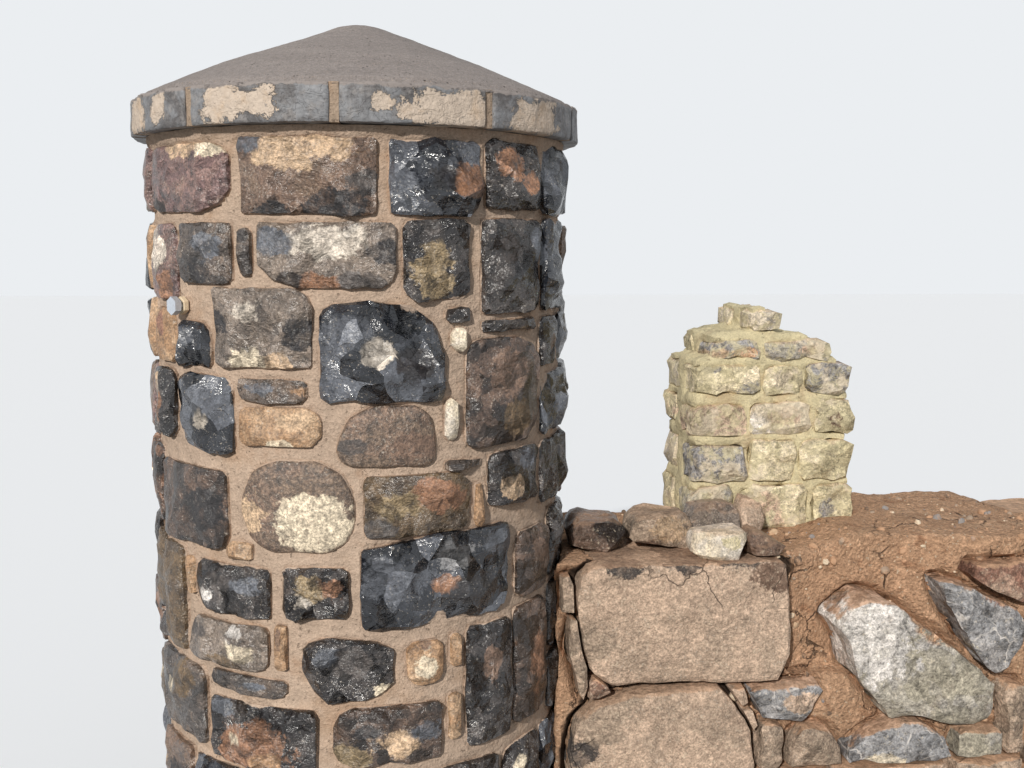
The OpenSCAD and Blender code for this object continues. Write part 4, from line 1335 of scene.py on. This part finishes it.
class EarthHearting(bpy.types.Operator):
    """Roughens the earth in the wall and beds pebbles in it"""

    bl_idname = "masonry.earth_hearting"
    bl_label = "Earth hearting"

    def execute(self, context):
        piece = join([cad_copy(node, node + "_earth") for node in HEARTINGS], "hearting_earth")
        remesh(piece, EARTH_GRID)
        push(piece, "swells", 0.02)
        push(piece, "lumps", 0.012)
        push(piece, "crumbs", 0.009)
        self.draw_back(piece, context.scene.masonry_mortar.gap)
        modify(piece, "DECIMATE", ratio=0.4)
        stand_on_ground(piece)
        hand_over(piece, earth_finish(), "earth_hearting", *HEARTINGS, smooth=50)
        self.bed_pebbles(piece, context.scene.masonry_mortar.pebbles)
        return {"FINISHED"}

    @staticmethod
    def draw_back(earth, gap):
        """Draws the earth's open face back from the stones, and marks the earth near the blocks, where
        the gap round them is painted dark as shade.
        """
        stones = stone_surfaces(["upper_block", "lower_block", "rough_stones", "pinnings"])
        blocks = stone_surfaces(["upper_block", "lower_block"])
        front = [v.index for v in earth.data.vertices if v.normal.y < -0.2]
        depth = [0.0] * len(earth.data.vertices)
        for index in front:
            vertex = earth.data.vertices[index]
            block, _, _, distance = blocks.find_nearest(vertex.co, 2 * gap)
            if block is not None:
                depth[index] = 1 - distance / (2 * gap)
            near, _, _, distance = stones.find_nearest(vertex.co, gap)
            if near is not None:
                vertex.co.y += 2 * (gap - distance)
        write(earth, "gap", depth)

    @staticmethod
    def bed_pebbles(earth, count):
        """Pebbles half sunk in the earth where it shows, on the front and on the top."""
        rng = random.Random(500)
        open_faces = [p for p in earth.data.polygons
                      if (p.normal.z > PEBBLE_LEAN and p.center.z > WALL_TOP - PEBBLE_DROP)
                      or (p.normal.y < -PEBBLE_LEAN and p.center.y < OPEN_FACE and p.center.z > OPEN_LOW
                          and OPEN_FROM < p.center.x < OPEN_TO)]
        parts = []
        for _ in range(count):
            face = rng.choice(open_faces)
            size = PEBBLE_R + PEBBLE_GROWTH * rng.random() ** 4
            deselect()
            bpy.ops.mesh.primitive_ico_sphere_add(subdivisions=2, radius=size, location=(0, 0, 0))
            part = bpy.context.object
            stretch = Vector([rng.uniform(0.6, 1.3) for _ in range(3)])
            turn = Matrix.Rotation(rng.uniform(0, 6), 3, rng.choice("XYZ"))
            for vertex in part.data.vertices:
                knock = rng.uniform(0.82, 1.1)
                vertex.co = turn @ (vertex.co * stretch * knock) + face.center
            shade = COLOURS[rng.choice(("cream", "gray", "buff", "dun", "soil", "soil", "gray_brown"))]
            write_colour(part, "tone", list(shade) * len(part.data.vertices))
            parts.append(part)
        piece = join(parts, "earth_pebbles")
        piece.data.materials.append(pebble_finish())
        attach(piece, BODY)


class OldStub(bpy.types.Operator):
    """Weathers the stub of the older wall"""

    bl_idname = "masonry.old_stub"
    bl_label = "Old stub"

    def execute(self, context):
        finish = wall_stone_finish("lichen_stone", 0.3, lichen=0.75)
        piece = dress_wall_stones("stub_stones", FRONT, 600, None, STUB_LOOKS, lumps=0.026)
        hand_over(piece, finish, "lichen_stone", "stub_stones")
        body = cad_copy("stub_masonry", "stub_mortar_body")
        remesh(body, STUB_GRID)
        push(body, "lumps", 0.024, mid_level=0.2)
        push(body, "sand", 0.006)
        modify(body, "DECIMATE", ratio=0.4)
        hand_over(body, mortar_finish("stub_mortar", COLOURS["straw"]), "pillar_mortar", "stub_masonry",
                  smooth=50)
        return {"FINISHED"}


class Stage(bpy.types.Operator):
    """Sets up the floor, the light and the camera"""

    bl_idname = "masonry.stage"
    bl_label = "Stage"

    def execute(self, context):
        settings = context.scene.masonry_stage
        self.floor(settings)
        self.light(context, settings)
        self.camera(context, settings)
        context.scene.view_settings.view_transform = "Standard"
        return {"FINISHED"}

    @staticmethod
    def floor(settings):
        """A wide floor that is pale to the camera and throws little light back at the object."""
        deselect()
        bpy.ops.mesh.primitive_plane_add(size=60, location=(0, 0, 0))
        floor = bpy.context.object
        floor.name = "floor"
        f = Finish("pale_floor")
        colour = f.mix(settings.ground_colour, settings.floor_colour, f.seen())
        floor.data.materials.append(f.wear(colour, 0.9))

    @staticmethod
    def light(context, settings):
        """A low sun from the left and fill from all round, with a pale backdrop."""
        world = bpy.data.worlds.new("studio")
        context.scene.world = world
        sheet = Sheet(world)
        sheet.tree.nodes.remove(sheet.tree.nodes["Background"])
        fill = sheet.node("ShaderNodeBackground", Color=FILL_COLOUR, Strength=settings.fill)
        backdrop = sheet.node("ShaderNodeBackground", Color=settings.sky_colour)
        mixed = sheet.node("ShaderNodeMixShader", i0=sheet.seen(), i1=fill, i2=backdrop)
        sheet.tree.links.new(mixed.socket, sheet.tree.nodes["World Output"].inputs["Surface"])
        deselect()
        bpy.ops.object.light_add(type="SUN", location=Vector(TOWARDS_SUN) * 6)
        sun = bpy.context.object
        sun.name = "sun"
        sun.data.angle = SUN_WIDTH
        sun.data.energy = settings.sun
        sun.data.color = SUN_COLOUR
        sun.rotation_euler = (-Vector(TOWARDS_SUN)).to_track_quat("-Z", "Y").to_euler()

    @staticmethod
    def camera(context, settings):
        """Eye height in front of the pillar, turned a little right and down."""
        cam = bpy.data.objects.new("camera", bpy.data.cameras.new("camera"))
        context.scene.collection.objects.link(cam)
        level = Vector((math.sin(YAW), math.cos(YAW), 0))
        ahead = level * math.cos(PITCH) - Vector((0, 0, math.sin(PITCH)))
        right = Vector((math.cos(YAW), -math.sin(YAW), 0))
        up = right.cross(ahead)
        rolled_right = right * math.cos(ROLL) + up * math.sin(ROLL)
        rolled_up = up * math.cos(ROLL) - right * math.sin(ROLL)
        turn = Matrix((rolled_right, rolled_up, -ahead)).transposed()
        cam.matrix_world = Matrix.Translation(EYE) @ turn.to_4x4()
        cam.data.sensor_width = 36
        cam.data.lens = settings.focal
        context.scene.camera = cam


STEPS = [PillarStones, PillarMortar, CopingRing, MortarCap, FixingBolt, WallStones, EarthHearting,
         OldStub, Stage]
GROUPS = {
    "masonry_stones": StoneSettings,
    "masonry_mortar": MortarSettings,
    "masonry_coping": CopingSettings,
    "masonry_stage": StageSettings,
}


class MasonryPanel(bpy.types.Panel):
    """Lists the settings and the steps"""

    bl_idname = "VIEW3D_PT_masonry"
    bl_label = "Masonry"
    bl_space_type = "VIEW_3D"
    bl_region_type = "UI"
    bl_category = "Masonry"

    def draw(self, context):
        for name, group in GROUPS.items():
            box = self.layout.box()
            for prop in group.__annotations__:
                box.prop(getattr(context.scene, name), prop)
        for step in STEPS:
            self.layout.operator(step.bl_idname)


def register():
    for item in [*GROUPS.values(), *STEPS, MasonryPanel]:
        bpy.utils.register_class(item)
    for name, group in GROUPS.items():
        setattr(bpy.types.Scene, name, PointerProperty(type=group))


def unregister():
    for name in GROUPS:
        delattr(bpy.types.Scene, name)
    for item in reversed([*GROUPS.values(), *STEPS, MasonryPanel]):
        bpy.utils.unregister_class(item)


def main():
    register()
    bpy.ops.masonry.pillar_stones()
    bpy.ops.masonry.pillar_mortar()
    bpy.ops.masonry.coping_ring()
    bpy.ops.masonry.mortar_cap()
    bpy.ops.masonry.fixing_bolt()
    bpy.ops.masonry.wall_stones()
    bpy.ops.masonry.earth_hearting()
    bpy.ops.masonry.old_stub()
    bpy.ops.masonry.stage()


if __name__ == "__main__":
    main()
